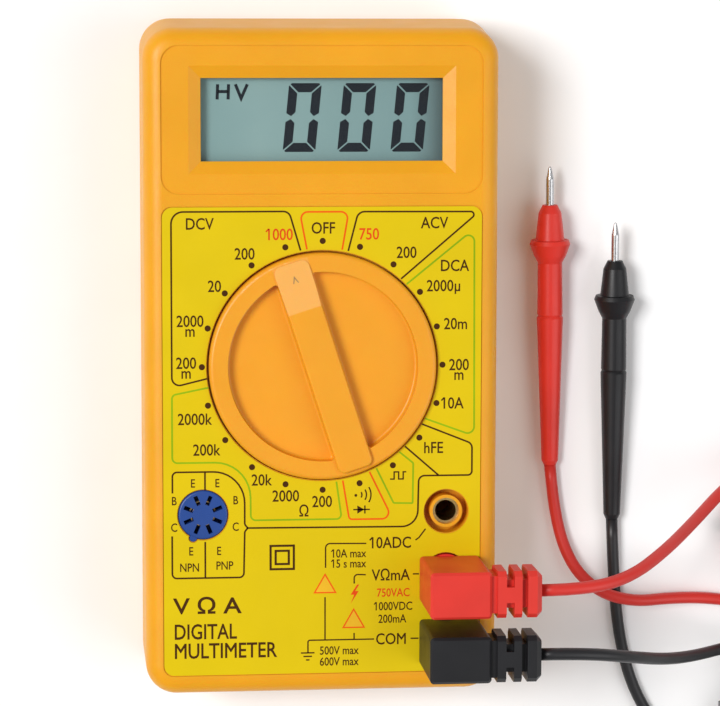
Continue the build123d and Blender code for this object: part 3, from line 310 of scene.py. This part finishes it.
def case_plastic():
    """Case plastic, with fine scratches across the panel round the display."""
    colour = (0.80, 0.350, 0.006)
    graph = moulded("case_orange", colour, 0.40, 0.30, 0.008, 0.035, Specular_IOR_Level=0.36)
    soft_light_through(graph)
    axes = graph.node("ShaderNodeSeparateXYZ")
    graph.link(graph.place, axes.inputs["Vector"])
    panel = graph.math(
        "MULTIPLY",
        graph.between(axes.outputs["X"], -PANEL_HALF_WIDTH * MM, PANEL_HALF_WIDTH * MM, MM),
        graph.between(axes.outputs["Y"], PANEL_BOTTOM * MM, PANEL_TOP * MM, MM),
    )
    scratches = graph.noise(0.35, 3.0, graph.stretched((0.03, 1.0, 1.0)))
    grain = graph.noise(0.3, 2.0)
    height = graph.math("ADD", grain, graph.math("MULTIPLY", scratches, graph.math("MULTIPLY", panel, 1.6)))
    graph.bump(height, 0.009)
    return graph.material


def knob_plastic():
    """Knob plastic, with a painted highlight: the pointer's sloped end is painted a paler orange for the
    light that falls on that facet.
    """
    colour = (0.82, 0.345, 0.014)
    graph = moulded("knob_orange", colour, 0.36, 0.4, 0.006, 0.03, Specular_IOR_Level=0.4)
    soft_light_through(graph)
    axes = graph.node("ShaderNodeSeparateXYZ")
    graph.link(graph.place, axes.inputs["Vector"])
    x, y, z = (axes.outputs[axis] for axis in "XYZ")
    turn = math.radians(POINTER_ANGLE)
    north = graph.math("SUBTRACT", y, DIAL_Y * MM)
    along = graph.math(
        "ADD", graph.math("MULTIPLY", x, math.cos(turn)), graph.math("MULTIPLY", north, math.sin(turn))
    )
    across = graph.math(
        "SUBTRACT", graph.math("MULTIPLY", north, math.cos(turn)), graph.math("MULTIPLY", x, math.sin(turn))
    )
    painted_highlight = graph.math(
        "MULTIPLY",
        graph.between(along, TIP_START * MM, TIP_END * MM, 0.3 * MM),
        graph.between(across, -TIP_HALF_WIDTH * MM, TIP_HALF_WIDTH * MM, 0.2 * MM),
    )
    raised = graph.between(z, TIP_FLOOR * MM, TIP_CEILING * MM, 0.2 * MM)
    painted_highlight = graph.math("MULTIPLY", painted_highlight, raised)
    base = graph.shader.inputs["Base Color"].links[0].from_socket
    # painted highlight: paler orange mixed in on the pointer's sloped end, for the light on that facet
    graph.link(graph.mix(painted_highlight, base, (0.86, 0.42, 0.09)), graph.shader.inputs["Base Color"])
    return graph.material


def display_glass():
    """Grey-green, a little darker towards its right end, with faint cloudiness."""
    graph = Graph("lcd_grey")
    axes = graph.node("ShaderNodeSeparateXYZ")
    graph.link(graph.place, axes.inputs["Vector"])
    width = graph.node("ShaderNodeMapRange")
    width.inputs["From Min"].default_value = -GLASS_HALF_WIDTH * MM
    width.inputs["From Max"].default_value = GLASS_HALF_WIDTH * MM
    graph.link(axes.outputs["X"], width.inputs["Value"])
    tint = graph.ramp(
        width.outputs["Result"],
        (0.0, (0.19, 0.32, 0.315)),
        (0.25, (0.225, 0.355, 0.345)),
        (0.86, (0.17, 0.285, 0.285)),
        (1.0, (0.075, 0.12, 0.125)),
    )
    clouds = graph.noise(9.0, 2.0)
    shaded = graph.mix(graph.range_of(clouds, 0.0, 0.25), tint, (0.15, 0.25, 0.27))
    graph.link(shaded, graph.shader.inputs["Base Color"])
    graph.link(graph.range_of(graph.noise(4.0), 0.28, 0.4), graph.shader.inputs["Roughness"])
    graph.bump(graph.noise(0.5, 2.0), 0.002)
    return graph.material


def clear(name, colour, alpha, rough=0.06):
    """Thin clear plastic or glass over something else."""
    graph = Graph(name)
    smears = graph.noise(8.0, 4.0)
    tint = graph.ramp(smears, (0.3, colour), (0.7, shade(colour, 1.08)))
    graph.link(tint, graph.shader.inputs["Base Color"])
    graph.link(graph.range_of(smears, rough, rough + 0.1), graph.shader.inputs["Roughness"])
    graph.link(graph.range_of(smears, alpha * 0.8, alpha * 1.2), graph.shader.inputs["Alpha"])
    return graph.material


def woven(name, colour):
    """Fine woven tape."""
    graph = moulded(name, colour, 0.8, 0.3, 0.02, 0.15)
    wave = graph.node("ShaderNodeTexWave", bands_direction="DIAGONAL")
    wave.inputs["Scale"].default_value = 900.0
    graph.link(graph.place, wave.inputs["Vector"])
    graph.bump(wave.outputs["Fac"], 0.06)
    graph.set(Sheen_Weight=0.3)
    return graph.material


def ink(name, colour):
    """Screen-printed ink, a little uneven. The painted shadow at the display's left end and the painted shade
    of the knob's arrow use it as well.
    """
    return moulded(name, colour, 0.5, 0.2, 0.002, 0.12, Specular_IOR_Level=0.12).material


def build_materials():
    steel = (0.60, 0.60, 0.61)
    brass = (0.80, 0.56, 0.22)
    return {
        "case_orange": case_plastic(),
        "knob_orange": knob_plastic(),
        "label_yellow": moulded(
            "label_yellow", (0.70, 0.510, 0.0), 0.4, 0.6, 0.004, 0.03, Specular_IOR_Level=0.2
        ).material,
        "lcd_grey": display_glass(),
        "window_clear": clear("window_clear", (0.60, 0.68, 0.66), 0.008),
        "fuse_glass": clear("fuse_glass", (0.82, 0.88, 0.88), 0.25),
        "black_plastic": moulded(
            "black_plastic", (0.010, 0.010, 0.012), 0.40, 0.4, 0.01, 0.2, Specular_IOR_Level=0.35
        ).material,
        "red_plastic": moulded(
            "red_plastic", (0.72, 0.034, 0.022), 0.38, 0.5, 0.012, 0.09, Specular_IOR_Level=0.4
        ).material,
        "blue_plastic": moulded("blue_plastic", (0.01, 0.055, 0.26), 0.36, 0.4, 0.008, 0.08).material,
        "pink_rubber": moulded("pink_rubber", (0.60, 0.26, 0.28), 0.7).material,
        "board_green": moulded("board_green", (0.02, 0.17, 0.06), 0.3, 1.2, 0.02).material,
        "resistor_beige": moulded("resistor_beige", (0.62, 0.45, 0.28), 0.4).material,
        "capacitor_red": moulded("capacitor_red", (0.40, 0.06, 0.03), 0.3).material,
        "ceramic_white": moulded("ceramic_white", (0.78, 0.76, 0.68), 0.4).material,
        "battery_grey": moulded("battery_grey", (0.10, 0.11, 0.13), 0.3).material,
        "foam_grey": moulded("foam_grey", (0.06, 0.06, 0.06), 0.9, 0.5, 0.15, 0.3).material,
        "lead_red": moulded("lead_red", (0.62, 0.026, 0.018), 0.42, 0.6, 0.006, 0.06).material,
        "lead_black": moulded("lead_black", (0.011, 0.011, 0.013), 0.42, 0.6, 0.006, 0.15).material,
        "tie_dark": woven("tie_dark", (0.05, 0.05, 0.055)),
        "gold_track": metal("gold_track", (0.86, 0.60, 0.24), 0.3).material,
        "brass_plain": metal("brass_plain", brass, 0.26, (0.2, 0.2, 3.0)).material,
        "steel_plain": metal("steel_plain", steel, 0.26, (3.0, 0.3, 3.0)).material,
        "ink_dark": ink("ink_dark", (0.060, 0.020, 0.002)),
        "ink_red": ink("ink_red", (0.72, 0.07, 0.006)),
        "ink_orange": ink("ink_orange", (0.80, 0.11, 0.004)),
        "ink_pale": ink("ink_pale", (0.78, 0.44, 0.02)),
        "ink_green": ink("ink_green", (0.26, 0.42, 0.004)),
        # dark ink of the display's digits, also used for the painted shadow at the glass's left end
        "display_ink_and_shade": ink("display_ink_and_shade", (0.006, 0.009, 0.015)),
        # painted shade: darker orange for the shade in the groove of the knob's moulded arrow
        "knob_arrow_shade": ink("knob_arrow_shade", (0.36, 0.20, 0.09)),
    }


MATERIALS = build_materials()


def dress_cad():
    """Gives each CAD node the material of its slot in the record."""
    slots = {part["node"]: part["material_slot"] for part in frame["record"]["subparts"]}
    for name, node in frame["nodes"].items():
        node.data.materials.clear()
        node.data.materials.append(MATERIALS[slots[name]])


# Meshes


def add_object(name, mesh, material, body="meter"):
    mesh.materials.clear()
    mesh.materials.append(MATERIALS[material])
    made = bpy.data.objects.new(name, mesh)
    bpy.context.scene.collection.objects.link(made)
    if body:
        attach(made, body)
    return made


class Print:
    """Collects thin raised shapes of one ink or of one painted shade, given in millimetres, into one mesh."""

    def __init__(self, level_mm, thickness=INK_THICKNESS, squeeze=1.0):
        self.mesh = bmesh.new()
        self.squeeze = squeeze
        self.low = level_mm
        self.high = level_mm + thickness

    def prism(self, outline):
        """A filled shape given by its corners."""
        outline = [(x * self.squeeze, y) for x, y in outline]
        low = [self.mesh.verts.new((x * MM, y * MM, self.low * MM)) for x, y in outline]
        high = [self.mesh.verts.new((x * MM, y * MM, self.high * MM)) for x, y in outline]
        count = len(outline)
        self.mesh.faces.new(high)
        self.mesh.faces.new(low[::-1])
        for index in range(count):
            after = (index + 1) % count
            self.mesh.faces.new((low[index], low[after], high[after], high[index]))

    def dot(self, x, y, radius):
        turns = [math.radians(angle) for angle in range(0, 360, 18)]
        self.prism([(x + radius * math.cos(turn), y + radius * math.sin(turn)) for turn in turns])

    def stroke(self, points, width=LINE, closed=False):
        """A line of constant width through the points, mitred at each."""
        spots = [Vector((x * self.squeeze, y)) for x, y in points]
        count = len(spots)
        sides = ([], [])
        for index, here in enumerate(spots):
            before = spots[index - 1] if closed or index else None
            after = spots[(index + 1) % count] if closed or index < count - 1 else None
            into = (here - before).normalized() if before is not None else (after - here).normalized()
            out = (after - here).normalized() if after is not None else into
            normal = Vector((-(into + out).y, (into + out).x)).normalized()
            reach = width / 2 / max(0.35, normal.dot(Vector((-into.y, into.x))))
            sides[0].append(here + normal * reach)
            sides[1].append(here - normal * reach)
        rings = []
        for left, right in zip(*sides):
            corners = ((left, self.low), (right, self.low), (right, self.high), (left, self.high))
            rings.append([self.mesh.verts.new((spot.x * MM, spot.y * MM, z * MM)) for spot, z in corners])
        for index in range(count if closed else count - 1):
            here, after = rings[index], rings[(index + 1) % count]
            for side in range(4):
                other = (side + 1) % 4
                self.mesh.faces.new((here[side], after[side], after[other], here[other]))
        if not closed:
            self.mesh.faces.new(rings[0])
            self.mesh.faces.new(rings[-1][::-1])

    def write(self, words, x, y, capitals=CAPITALS, condense=CONDENSE, align="CENTER", weight=0.01):
        """Lettering with capitals of that height, centred on y. A leading 1 gets a flag."""
        mesh = letters(words, align, weight)
        x *= self.squeeze
        scale = capitals / LETTER_HEIGHT
        for vertex in mesh.vertices:
            flat = vertex.co
            z = self.low if flat.z < 0 else self.high
            place = (x + flat.x * scale * condense, y + (flat.y - LETTER_HEIGHT / 2) * scale, z)
            vertex.co = Vector(place) * MM
        self.mesh.from_mesh(mesh)
        if words.startswith("1"):
            left = min(vertex.co.x for vertex in mesh.vertices) / MM
            top = y + capitals / 2
            flag = ((left + 0.05 * capitals, top), (left - 0.2 * capitals, top - 0.27 * capitals))
            self.stroke([(at / self.squeeze, height) for at, height in flag], 0.13 * capitals)

    def finish(self, name, material, body="meter"):
        bmesh.ops.recalc_face_normals(self.mesh, faces=self.mesh.faces)
        mesh = bpy.data.meshes.new(name)
        self.mesh.to_mesh(mesh)
        made = add_object(name, mesh, material, body)
        return made


def letters(words, align="CENTER", weight=0.0):
    """Lettering of the font's own size, from -1 to 1 in Z, its outline pushed out by weight."""
    curve = bpy.data.curves.new("letters", "FONT")
    curve.body = words
    curve.align_x = align
    curve.extrude = 1.0
    curve.resolution_u = 3
    holder = bpy.data.objects.new("letters", curve)
    mesh = bpy.data.meshes.new_from_object(holder)
    bpy.data.objects.remove(holder)
    shape = bmesh.new()
    shape.from_mesh(mesh)
    bmesh.ops.remove_doubles(shape, verts=shape.verts, dist=1e-5)
    bmesh.ops.recalc_face_normals(shape, faces=shape.faces)
    shape.normal_update()
    pushes = []
    for vertex in shape.verts:
        sides = [face.normal for face in vertex.link_faces if abs(face.normal.z) < 0.5]
        total = sum(sides, Vector())
        pushes.append((vertex, total * 2 / max(1.0, total.length_squared)))
    for vertex, push in pushes:
        vertex.co += push * weight
    shape.to_mesh(mesh)
    return mesh


LETTER_HEIGHT = max(vertex.co.y for vertex in letters("H").vertices)


def rounded(corners):
    """Points along a line given as (x, y) or (x, y, radius), with an arc at each radius."""
    points = []
    for index, corner in enumerate(corners):
        here = Vector(corner[:2])
        if len(corner) == 2 or index in (0, len(corners) - 1):
            points.append(here)
            continue
        into = (Vector(corners[index - 1][:2]) - here).normalized()
        out = (Vector(corners[index + 1][:2]) - here).normalized()
        half = into.angle(out) / 2
        reach = corner[2] / math.tan(half)
        centre = here + (into + out).normalized() * corner[2] / math.sin(half)
        start, end = here + into * reach - centre, here + out * reach - centre
        sweep = start.angle_signed(end)
        steps = max(3, int(abs(math.degrees(sweep)) / 9))
        for step in range(steps + 1):
            points.append(centre + Matrix.Rotation(-sweep * step / steps, 2) @ start)
    return points


def to_dial(corners, *ends):
    """Moves the first or last point along its run to just outside the knob's opening."""
    corners = list(corners)
    middle = Vector((0, DIAL_Y))
    for end, beside in ((0, 1), (-1, -2)):
        if end not in ends:
            continue
        here, other = Vector(corners[end][:2]), Vector(corners[beside][:2])
        run = (other - here).normalized()
        off = other - middle
        along = off.dot(run)
        near = along - math.sqrt(max(0.0, along**2 - off.length_squared + DIAL_CLEAR_RADIUS**2))
        corners[end] = tuple(other - run * near)
    return corners


# Face


def dark_lines(ink_dark):
    """Boxes round the voltage ranges, the transistor test and the jacks."""
    for corners, ends in (
        (
            (
                (-4.2, 20.9),
                (-6.6, BOX_TOP, 1.5),
                (BOX_LEFT, BOX_TOP, 2.3),
                (BOX_LEFT, -4.9, 1.5),
                (-22.5, -3.2),
            ),
            (0, -1),
        ),
        (((4.9, 20.8), (7.0, 28.8, 1.6), (30.8, 28.7, 0.6), (15.0, 15.4)), (0, -1)),
        (
            (
                (19.3, -12.4),
                (29.7, -16.5, 1.3),
                (29.7, -22.7, 0.8),
                (19.1, -22.7, 1.2),
                (18.9, -32.7, 3.2),
                (-14.9, -32.5),
            ),
            (0,),
        ),
        (((16.0, -16.6), (23.1, -22.7)), (0,)),
    ):
        ink_dark.stroke(rounded(to_dial(corners, *ends)))


def transistor_lines(ink_dark):
    """Box round the transistor socket, open at its left, with a line down its middle."""
    middle = -23.2
    for corners in (
        ((BOX_LEFT, -25.5), (BOX_LEFT, -21.4, 0.9), (-15.4, -21.4, 6.2), (-15.4, -31.8, 0.8), (-14.8, -32.5)),
        ((-14.8, -32.5), (-15.4, -33.2, 0.8), (-15.6, -42.2, 0.9), (-29.7, -42.2, 0.9), (-29.7, -33.9)),
        ((middle, -21.5), (middle, -24.9)),
        ((middle, -35.1), (middle, -42.1)),
    ):
        ink_dark.stroke(rounded(corners))


def jack_lines(ink_dark):
    """Leaders from the jacks to their ratings, and the earth sign."""
    for corners in (
        ((18.5, -35.4), (19.2, -34.9), (20.5, -33.2)),
        ((8.7, -35.9), (0.6, -35.8, 0.9), (0.6, -40.6)),
        ((0.5, -46.4), (0.5, -54.8)),
        ((8.6, -42.1), (6.3, -42.0, 0.7), (6.3, -43.8)),
        ((18.0, -42.1), (19.2, -42.1)),
        ((6.3, -53.6), (6.3, -54.8)),
        ((10.3, -54.9), (-2.9, -54.9, 0.4), (-2.9, -57.4)),
        ((17.6, -54.9), (19.2, -54.9)),
        ((-4.3, -57.4), (-1.6, -57.4)),
        ((-3.8, -58.1), (-2.1, -58.1)),
        ((-3.3, -58.8), (-2.6, -58.8)),
    ):
        ink_dark.stroke(rounded(corners), THIN_LINE)


def range_symbols(ink_dark):
    """Square wave, buzzer, diode and double square."""
    low, high = -23.3, -21.9
    wave = [(13.4, low), (14.2, low), (14.2, high), (15.1, high)]
    wave += [(15.1, low), (16.0, low), (16.0, high), (16.6, high)]
    ink_dark.stroke(wave, THIN_LINE)
    ink_dark.dot(6.6, -26.4, 0.28)
    for radius in (1.0, 1.9, 2.8):
        turns = [math.radians(angle) for angle in range(-32, 33, 4)]
        arc = [(6.8 + radius * math.cos(turn), -26.3 + radius * math.sin(turn)) for turn in turns]
        ink_dark.stroke(arc, THIN_LINE)
    ink_dark.stroke(((6.1, -29.2), (9.4, -29.2)), THIN_LINE)
    ink_dark.prism(((6.9, -30.0), (8.3, -29.2), (6.9, -28.4)))
    ink_dark.stroke(((8.4, -30.0), (8.4, -28.4)), THIN_LINE)
    x, y = -8.0, -38.4
    for half in (2.3, 1.3):
        square = ((x - half, y - half), (x + half, y - half), (x + half, y + half), (x - half, y + half))
        ink_dark.stroke(square, HEAVY_LINE, closed=True)


def dark_words(ink_dark):
    """Range names and ranges, then small print, then the name of the instrument."""
    for words, x, y in (
        ("OFF", 0.1, 25.7),
        ("DCV", -24.1, 26.6),
        ("ACV", 22.0, 26.6),
        ("DCA", 26.0, 18.3),
        ("hFE", 22.0, -17.2),
        ("200", -15.3, 20.8),
        ("20", -21.2, 14.6),
        ("2000", -26.0, 7.9),
        ("m", -26.0, 6.0),
        ("200", -26.8, -0.2),
        ("m", -26.8, -2.1),
        ("2000k", -25.2, -11.1),
        ("200k", -22.9, -17.1),
        ("20k", -12.1, -23.1),
        ("2000", -7.3, -26.3),
        ("200", -0.1, -27.5),
        ("Ω", -3.7, -29.3),
        ("200", 16.5, 20.9),
        ("2000µ", 23.9, 14.4),
        ("20m", 26.3, 7.0),
        ("200", 27.0, -1.0),
        ("m", 27.0, -2.9),
        ("10A", 25.7, -8.5),
        ("10ADC", 13.5, -35.8),
        ("VΩmA", 13.6, -42.2),
        ("COM", 13.7, -54.9),
    ):
        ink_dark.write(words, x, y)
    for words, x, y in (
        ("E", -25.6, -23.6),
        ("E", -20.8, -23.6),
        ("B", -29.3, -27.0),
        ("B", -17.2, -27.0),
        ("C", -29.3, -32.2),
        ("C", -17.2, -32.2),
        ("E", -26.0, -36.9),
        ("E", -20.5, -36.9),
        ("NPN", -26.3, -40.1),
        ("PNP", -19.4, -39.8),
        ("1000VDC", 14.1, -48.4),
        ("200mA", 13.9, -50.9),
    ):
        ink_dark.write(words, x, y, SMALL_CAPITALS, SMALL_CONDENSE)
    for words, x, y in (
        ("10A max", 1.7, -37.8),
        ("15 s max", 1.7, -39.8),
        ("500V max", -0.6, -57.0),
        ("600V max", -0.6, -59.2),
    ):
        ink_dark.write(words, x, y, SMALL_CAPITALS, SMALL_CONDENSE, "LEFT")
    for words, y, capitals, condense, weight in (
        ("V Ω A", -47.7, 3.0, 1.15, 0.016),
        ("DIGITAL", -52.8, TITLE_CAPITALS, 0.77, 0.012),
        ("MULTIMETER", -56.6, TITLE_CAPITALS, 0.81, 0.012),
    ):
        ink_dark.write(words, -29.5, y, capitals, condense, "LEFT", weight)


def range_dots(ink_dark):
    """One dot for each position of the knob."""
    for index in range(SWITCH_POSITIONS):
        turn = math.radians(90 - index * 360 / SWITCH_POSITIONS)
        across = DOT_RING_SQUEEZE * DOT_ORBIT * math.cos(turn)
        ink_dark.dot(across, DIAL_Y + DOT_ORBIT * math.sin(turn), DOT_RADIUS)


def triangle(outline, filling, x, y):
    """A plain upright triangle, outlined in one ink and filled with a paler one."""
    corners = ((x - 2.1, y - 1.8), (x + 2.1, y - 1.8), (x, y + 1.8))
    outline.stroke(corners, THIN_LINE, closed=True)
    filling.prism(corners)


def face_print():
    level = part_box("face_label")[1].z / MM
    ink_dark = Print(level, squeeze=PRINT_SQUEEZE)
    dark_lines(ink_dark)
    transistor_lines(ink_dark)
    jack_lines(ink_dark)
    range_symbols(ink_dark)
    dark_words(ink_dark)
    range_dots(ink_dark)
    ink_dark.finish("face_print_dark", "ink_dark")

    ink_orange = Print(level, squeeze=PRINT_SQUEEZE)
    off_box = ((-3.0, 21.1), (-4.5, 28.8, 1.3), (5.1, 28.8, 1.3), (3.7, 20.8))
    buzzer_box = ((3.9, -22.9), (5.3, -31.1, 0.7), (13.9, -31.1, 1.3), (9.2, -21.6))
    for corners in (off_box, buzzer_box):
        ink_orange.stroke(rounded(to_dial(corners, 0, -1)))
    ink_pale = Print(level, INK_THICKNESS / 2, PRINT_SQUEEZE)
    triangle(ink_orange, ink_pale, 0.5, -43.7)
    triangle(ink_orange, ink_pale, 6.2, -50.7)
    ink_orange.finish("face_print_orange", "ink_orange")
    ink_pale.finish("face_print_pale", "ink_pale")

    ink_red = Print(level, squeeze=PRINT_SQUEEZE)
    ink_red.write("1000", -8.5, 24.5)
    ink_red.write("750", 9.1, 24.5)
    ink_red.write("750VAC", 14.1, -45.7, SMALL_CAPITALS, SMALL_CONDENSE)
    flash = [(6.9, -44.0), (5.6, -46.0), (6.3, -46.0), (5.6, -47.8)]
    ink_red.prism([*flash, (7.2, -45.3), (6.5, -45.3), (7.3, -44.0)])
    ink_red.finish("face_print_red", "ink_red")

    ink_green = Print(level, squeeze=PRINT_SQUEEZE)
    for corners in (
        ((16.0, 14.3), (29.9, 25.4, 1.2), (30.1, -15.0, 1.3), (19.8, -11.3)),
        ((15.0, -17.8), (18.0, -20.2, 0.4), (17.9, -28.1, 0.2), (14.1, -28.0, 0.4), (10.7, -21.2)),
        (
            (-22.5, -5.0),
            (BOX_LEFT, -6.4, 0.9),
            (BOX_LEFT, -19.6, 1.0),
            (-14.3, -19.6, 7.0),
            (-14.2, -31.0, 1.0),
            (3.8, -31.0, 0.9),
            (2.7, -23.4),
        ),
    ):
        ink_green.stroke(rounded(to_dial(corners, 0, -1)))
    ink_green.finish("face_print_green", "ink_green")


# Display


def zero_segments():
    """The six lit segments of a nought, upright, from its lower left corner."""
    width, height, thick, gap = DIGIT_WIDTH, DIGIT_HEIGHT, DIGIT_STROKE, DIGIT_GAP
    top = (
        (DIGIT_CORNER + gap, height),
        (width - DIGIT_CORNER - gap, height),
        (width - 0.12 - gap, height - 0.25),
        (width - thick - gap, height - thick),
        (thick + gap, height - thick),
        (0.12 + gap, height - 0.25),
    )
    left = (
        (0.0, height - DIGIT_CORNER - gap),
        (0.12, height - 0.2 - gap * 1.5),
        (thick, height - thick - gap * 1.2),
        (thick, height / 2 + 1.05),
        (thick * 0.55, height / 2 + 0.28),
        (0.0, height / 2 + 0.85),
    )
    right = [(width - x, y) for x, y in left]
    upper = [top, left, right]
    lower = [[(x, height - y) for x, y in shape] for shape in upper]
    return upper + lower


def display_print():
    """Three noughts, the letters HV, and a painted shadow: a dark line at the glass's left end standing in
    for the bezel's shadow.
    """
    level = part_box("lcd_glass")[1].z / MM
    dark = Print(level, DISPLAY_LAYER_THICKNESS)
    for left in DIGIT_LEFTS:
        for shape in zero_segments():
            slanted = [(left + x + y * DIGIT_SLANT, DIGIT_BOTTOM + y) for x, y in shape]
            dark.prism(slanted)
    for line in (
        ((-20.0, 50.2), (-19.9, 53.1)),
        ((-17.9, 50.2), (-17.8, 53.1)),
        ((-19.95, 51.7), (-17.85, 51.7)),
        ((-16.5, 53.1), (-15.4, 50.4), (-14.2, 53.1)),
    ):
        dark.stroke(line, SIGN_LINE)
    dark.finish("display_segments", "display_ink_and_shade")
    # painted shadow: a dark strip at the glass's left end for the shadow the bezel casts on it
    left_shadow = Print(level, DISPLAY_LAYER_THICKNESS)
    left_shadow.stroke(((-23.6, 38.0), (-23.6, 54.6)), LEFT_SHADOW_LINE)
    left_shadow.finish("display_left_shadow", "display_ink_and_shade")


def knob_arrow():
    """Small triangle on the pointer's sloped end: painted shade, a darker orange line standing in for the
    shade in the moulded arrow's groove.
    """
    turn = math.radians(POINTER_ANGLE)
    along = Vector((math.cos(turn), math.sin(turn)))
    across = Vector((-along.y, along.x))
    middle = Vector((0, DIAL_Y)) + along * ARROW_REACH
    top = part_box("selector_knob")[1].z / MM
    arrow_shade = Print(top - ARROW_DEPTH, 2 * INK_THICKNESS)
    corners = [middle + along * a + across * b for a, b in ((0.9, 0.0), (-0.7, 0.65), (-0.7, -0.65))]
    arrow_shade.stroke(corners, ARROW_LINE, closed=True)
    arrow_shade.finish("knob_arrow", "knob_arrow_shade", "selector")


# Leads


def coil_points(centre):
    """The coil's points, clockwise: in across the upper layer, down, and out across the lower."""
    reach = COIL_LAYER_TURNS * CORD_DIAMETER / 2
    inner, outer = COIL_RADIUS - reach, COIL_RADIUS + reach
    low = COIL_LIFT + CORD_DIAMETER / 2
    high = low + CORD_DIAMETER
    steps = round(COIL_LAYER_TURNS * COIL_POINTS)
    cut_inside = (3 + math.cos(2 * math.pi / COIL_POINTS)) / 4
    points = []
    for step in range(2 * steps + 1):
        turn = math.pi / 2 - 2 * math.pi * step / COIL_POINTS
        share = abs(step - steps) / steps
        radius = (inner + (outer - inner) * share) / (1 if step in (0, 2 * steps) else cut_inside)
        drop = min(1.0, max(0.0, (step - steps + 3) / 6))
        height = high + (low - high) * drop
        points.append((centre[0] + radius * math.cos(turn), centre[1] + radius * math.sin(turn), height))
    return points


def lead_route(colour, lead):
    """The CAD route's points, in metres, from the strain relief to the probe."""
    low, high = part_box(colour + "_plug_strain_relief")
    exit_point = Vector((high.x, (low.y + high.y) / 2, (low.z + high.z) / 2)) / MM
    straight = exit_point + Vector((STRAIGHT_OUT, 0, 0))
    points = [exit_point, straight, *lead["plug_run"], *coil_points(lead["coil_centre"])]
    return [Vector(point) * MM for point in (*points, *lead["probe_run"], lead["probe_tail"])]


def spline_line(points):
    """The smooth line of one NURBS spline with those control points."""
    curve = bpy.data.curves.new("route", "CURVE")
    curve.dimensions = "3D"
    spline = curve.splines.new("NURBS")
    spline.points.add(len(points) - 1)
    for spot, point in zip(spline.points, points):
        spot.co = (*point, 1.0)
    spline.order_u = 3
    spline.use_endpoint_u = True
    spline.resolution_u = 6
    holder = bpy.data.objects.new("route", curve)
    mesh = bpy.data.meshes.new_from_object(holder)
    line = [vertex.co.copy() for vertex in mesh.vertices]
    bpy.data.objects.remove(holder)
    bpy.data.meshes.remove(mesh)
    return line


def tube(name, line, radius):
    """A closed round tube that follows a line, without twisting."""
    shape = bmesh.new()
    side = Vector((0, 0, 1))
    rings = []
    for index, here in enumerate(line):
        ahead = line[min(index + 1, len(line) - 1)] - line[max(index - 1, 0)]
        ahead.normalize()
        side = (side - ahead * side.dot(ahead)).normalized()
        other = ahead.cross(side)
        ring = []
        for step in range(CORD_SIDES):
            turn = 2 * math.pi * step / CORD_SIDES
            ring.append(shape.verts.new(here + (side * math.cos(turn) + other * math.sin(turn)) * radius))
        rings.append(ring)
    for here, after in zip(rings, rings[1:]):
        for step in range(CORD_SIDES):
            beside = (step + 1) % CORD_SIDES
            shape.faces.new((here[step], here[beside], after[beside], after[step]))
    shape.faces.new(rings[0][::-1])
    shape.faces.new(rings[-1])
    bmesh.ops.recalc_face_normals(shape, faces=shape.faces)
    mesh = bpy.data.meshes.new(name)
    shape.to_mesh(mesh)
    for face in mesh.polygons:
        face.use_smooth = len(face.vertices) == 4
    return mesh


def test_lead(colour, lead):
    """One lead's cord: a single still tube along the route, from the plug through the coil to the probe."""
    route = lead_route(colour, lead)
    line = spline_line(route)
    mesh = tube(colour + "_cord", line, CORD_DIAMETER / 2 * MM)
    cord = add_object(colour + "_cord", mesh, "lead_" + colour, body=None)
    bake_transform(cord)
    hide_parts(*(f"{colour}_{node}" for node in ("cord_plug_run", "cord_coil", "cord_probe_run")))


# Studio


def add_camera():
    forward, right = Vector(CAMERA_FORWARD).normalized(), Vector(CAMERA_RIGHT).normalized()
    up = right.cross(forward)
    camera = bpy.data.cameras.new("camera")
    camera.sensor_width = CAMERA_SENSOR
    camera.lens = CAMERA_LENS
    camera.clip_start = 0.01
    holder = bpy.data.objects.new("camera", camera)
    turn = Matrix((right, up, -forward)).transposed().to_4x4()
    holder.matrix_world = Matrix.Translation(Vector(CAMERA_PLACE) * MM) @ turn
    bpy.context.scene.collection.objects.link(holder)
    bpy.context.scene.camera = holder


def softbox(name, place, size, power):
    """A square white light that faces the origin."""
    lamp = bpy.data.lights.new(name, "AREA")
    lamp.shape = "SQUARE"
    lamp.size = size
    lamp.energy = power
    holder = bpy.data.objects.new(name, lamp)
    turn = (-Vector(place)).to_track_quat("-Z", "Y")
    holder.matrix_world = Matrix.Translation(place) @ turn.to_matrix().to_4x4()
    bpy.context.scene.collection.objects.link(holder)


def studio():
    bpy.context.scene.view_settings.view_transform = "Standard"
    world = bpy.data.worlds.new("studio")
    world.use_nodes = True
    background = world.node_tree.nodes["Background"]
    background.inputs["Color"].default_value = (1.0, 1.0, 1.0, 1.0)
    background.inputs["Strength"].default_value = WORLD_STRENGTH
    bpy.context.scene.world = world
    softbox("key", KEY_PLACE, KEY_SIZE, KEY_POWER)
    softbox("fill", FILL_PLACE, FILL_SIZE, FILL_POWER)
    shape = bmesh.new()
    bmesh.ops.create_grid(shape, x_segments=1, y_segments=1, size=FLOOR_HALF_WIDTH)
    mesh = bpy.data.meshes.new("floor")
    shape.to_mesh(mesh)
    pale = moulded("floor_pale", (FLOOR_WHITE, FLOOR_WHITE, FLOOR_WHITE), 0.7, 4.0, 0.01, 0.01)
    mesh.materials.append(pale.material)
    floor = bpy.data.objects.new("floor", mesh)
    bpy.context.scene.collection.objects.link(floor)


add_camera()
for colour, lead in LEADS.items():
    test_lead(colour, lead)
dress_cad()
face_print()
display_print()
knob_arrow()
studio()
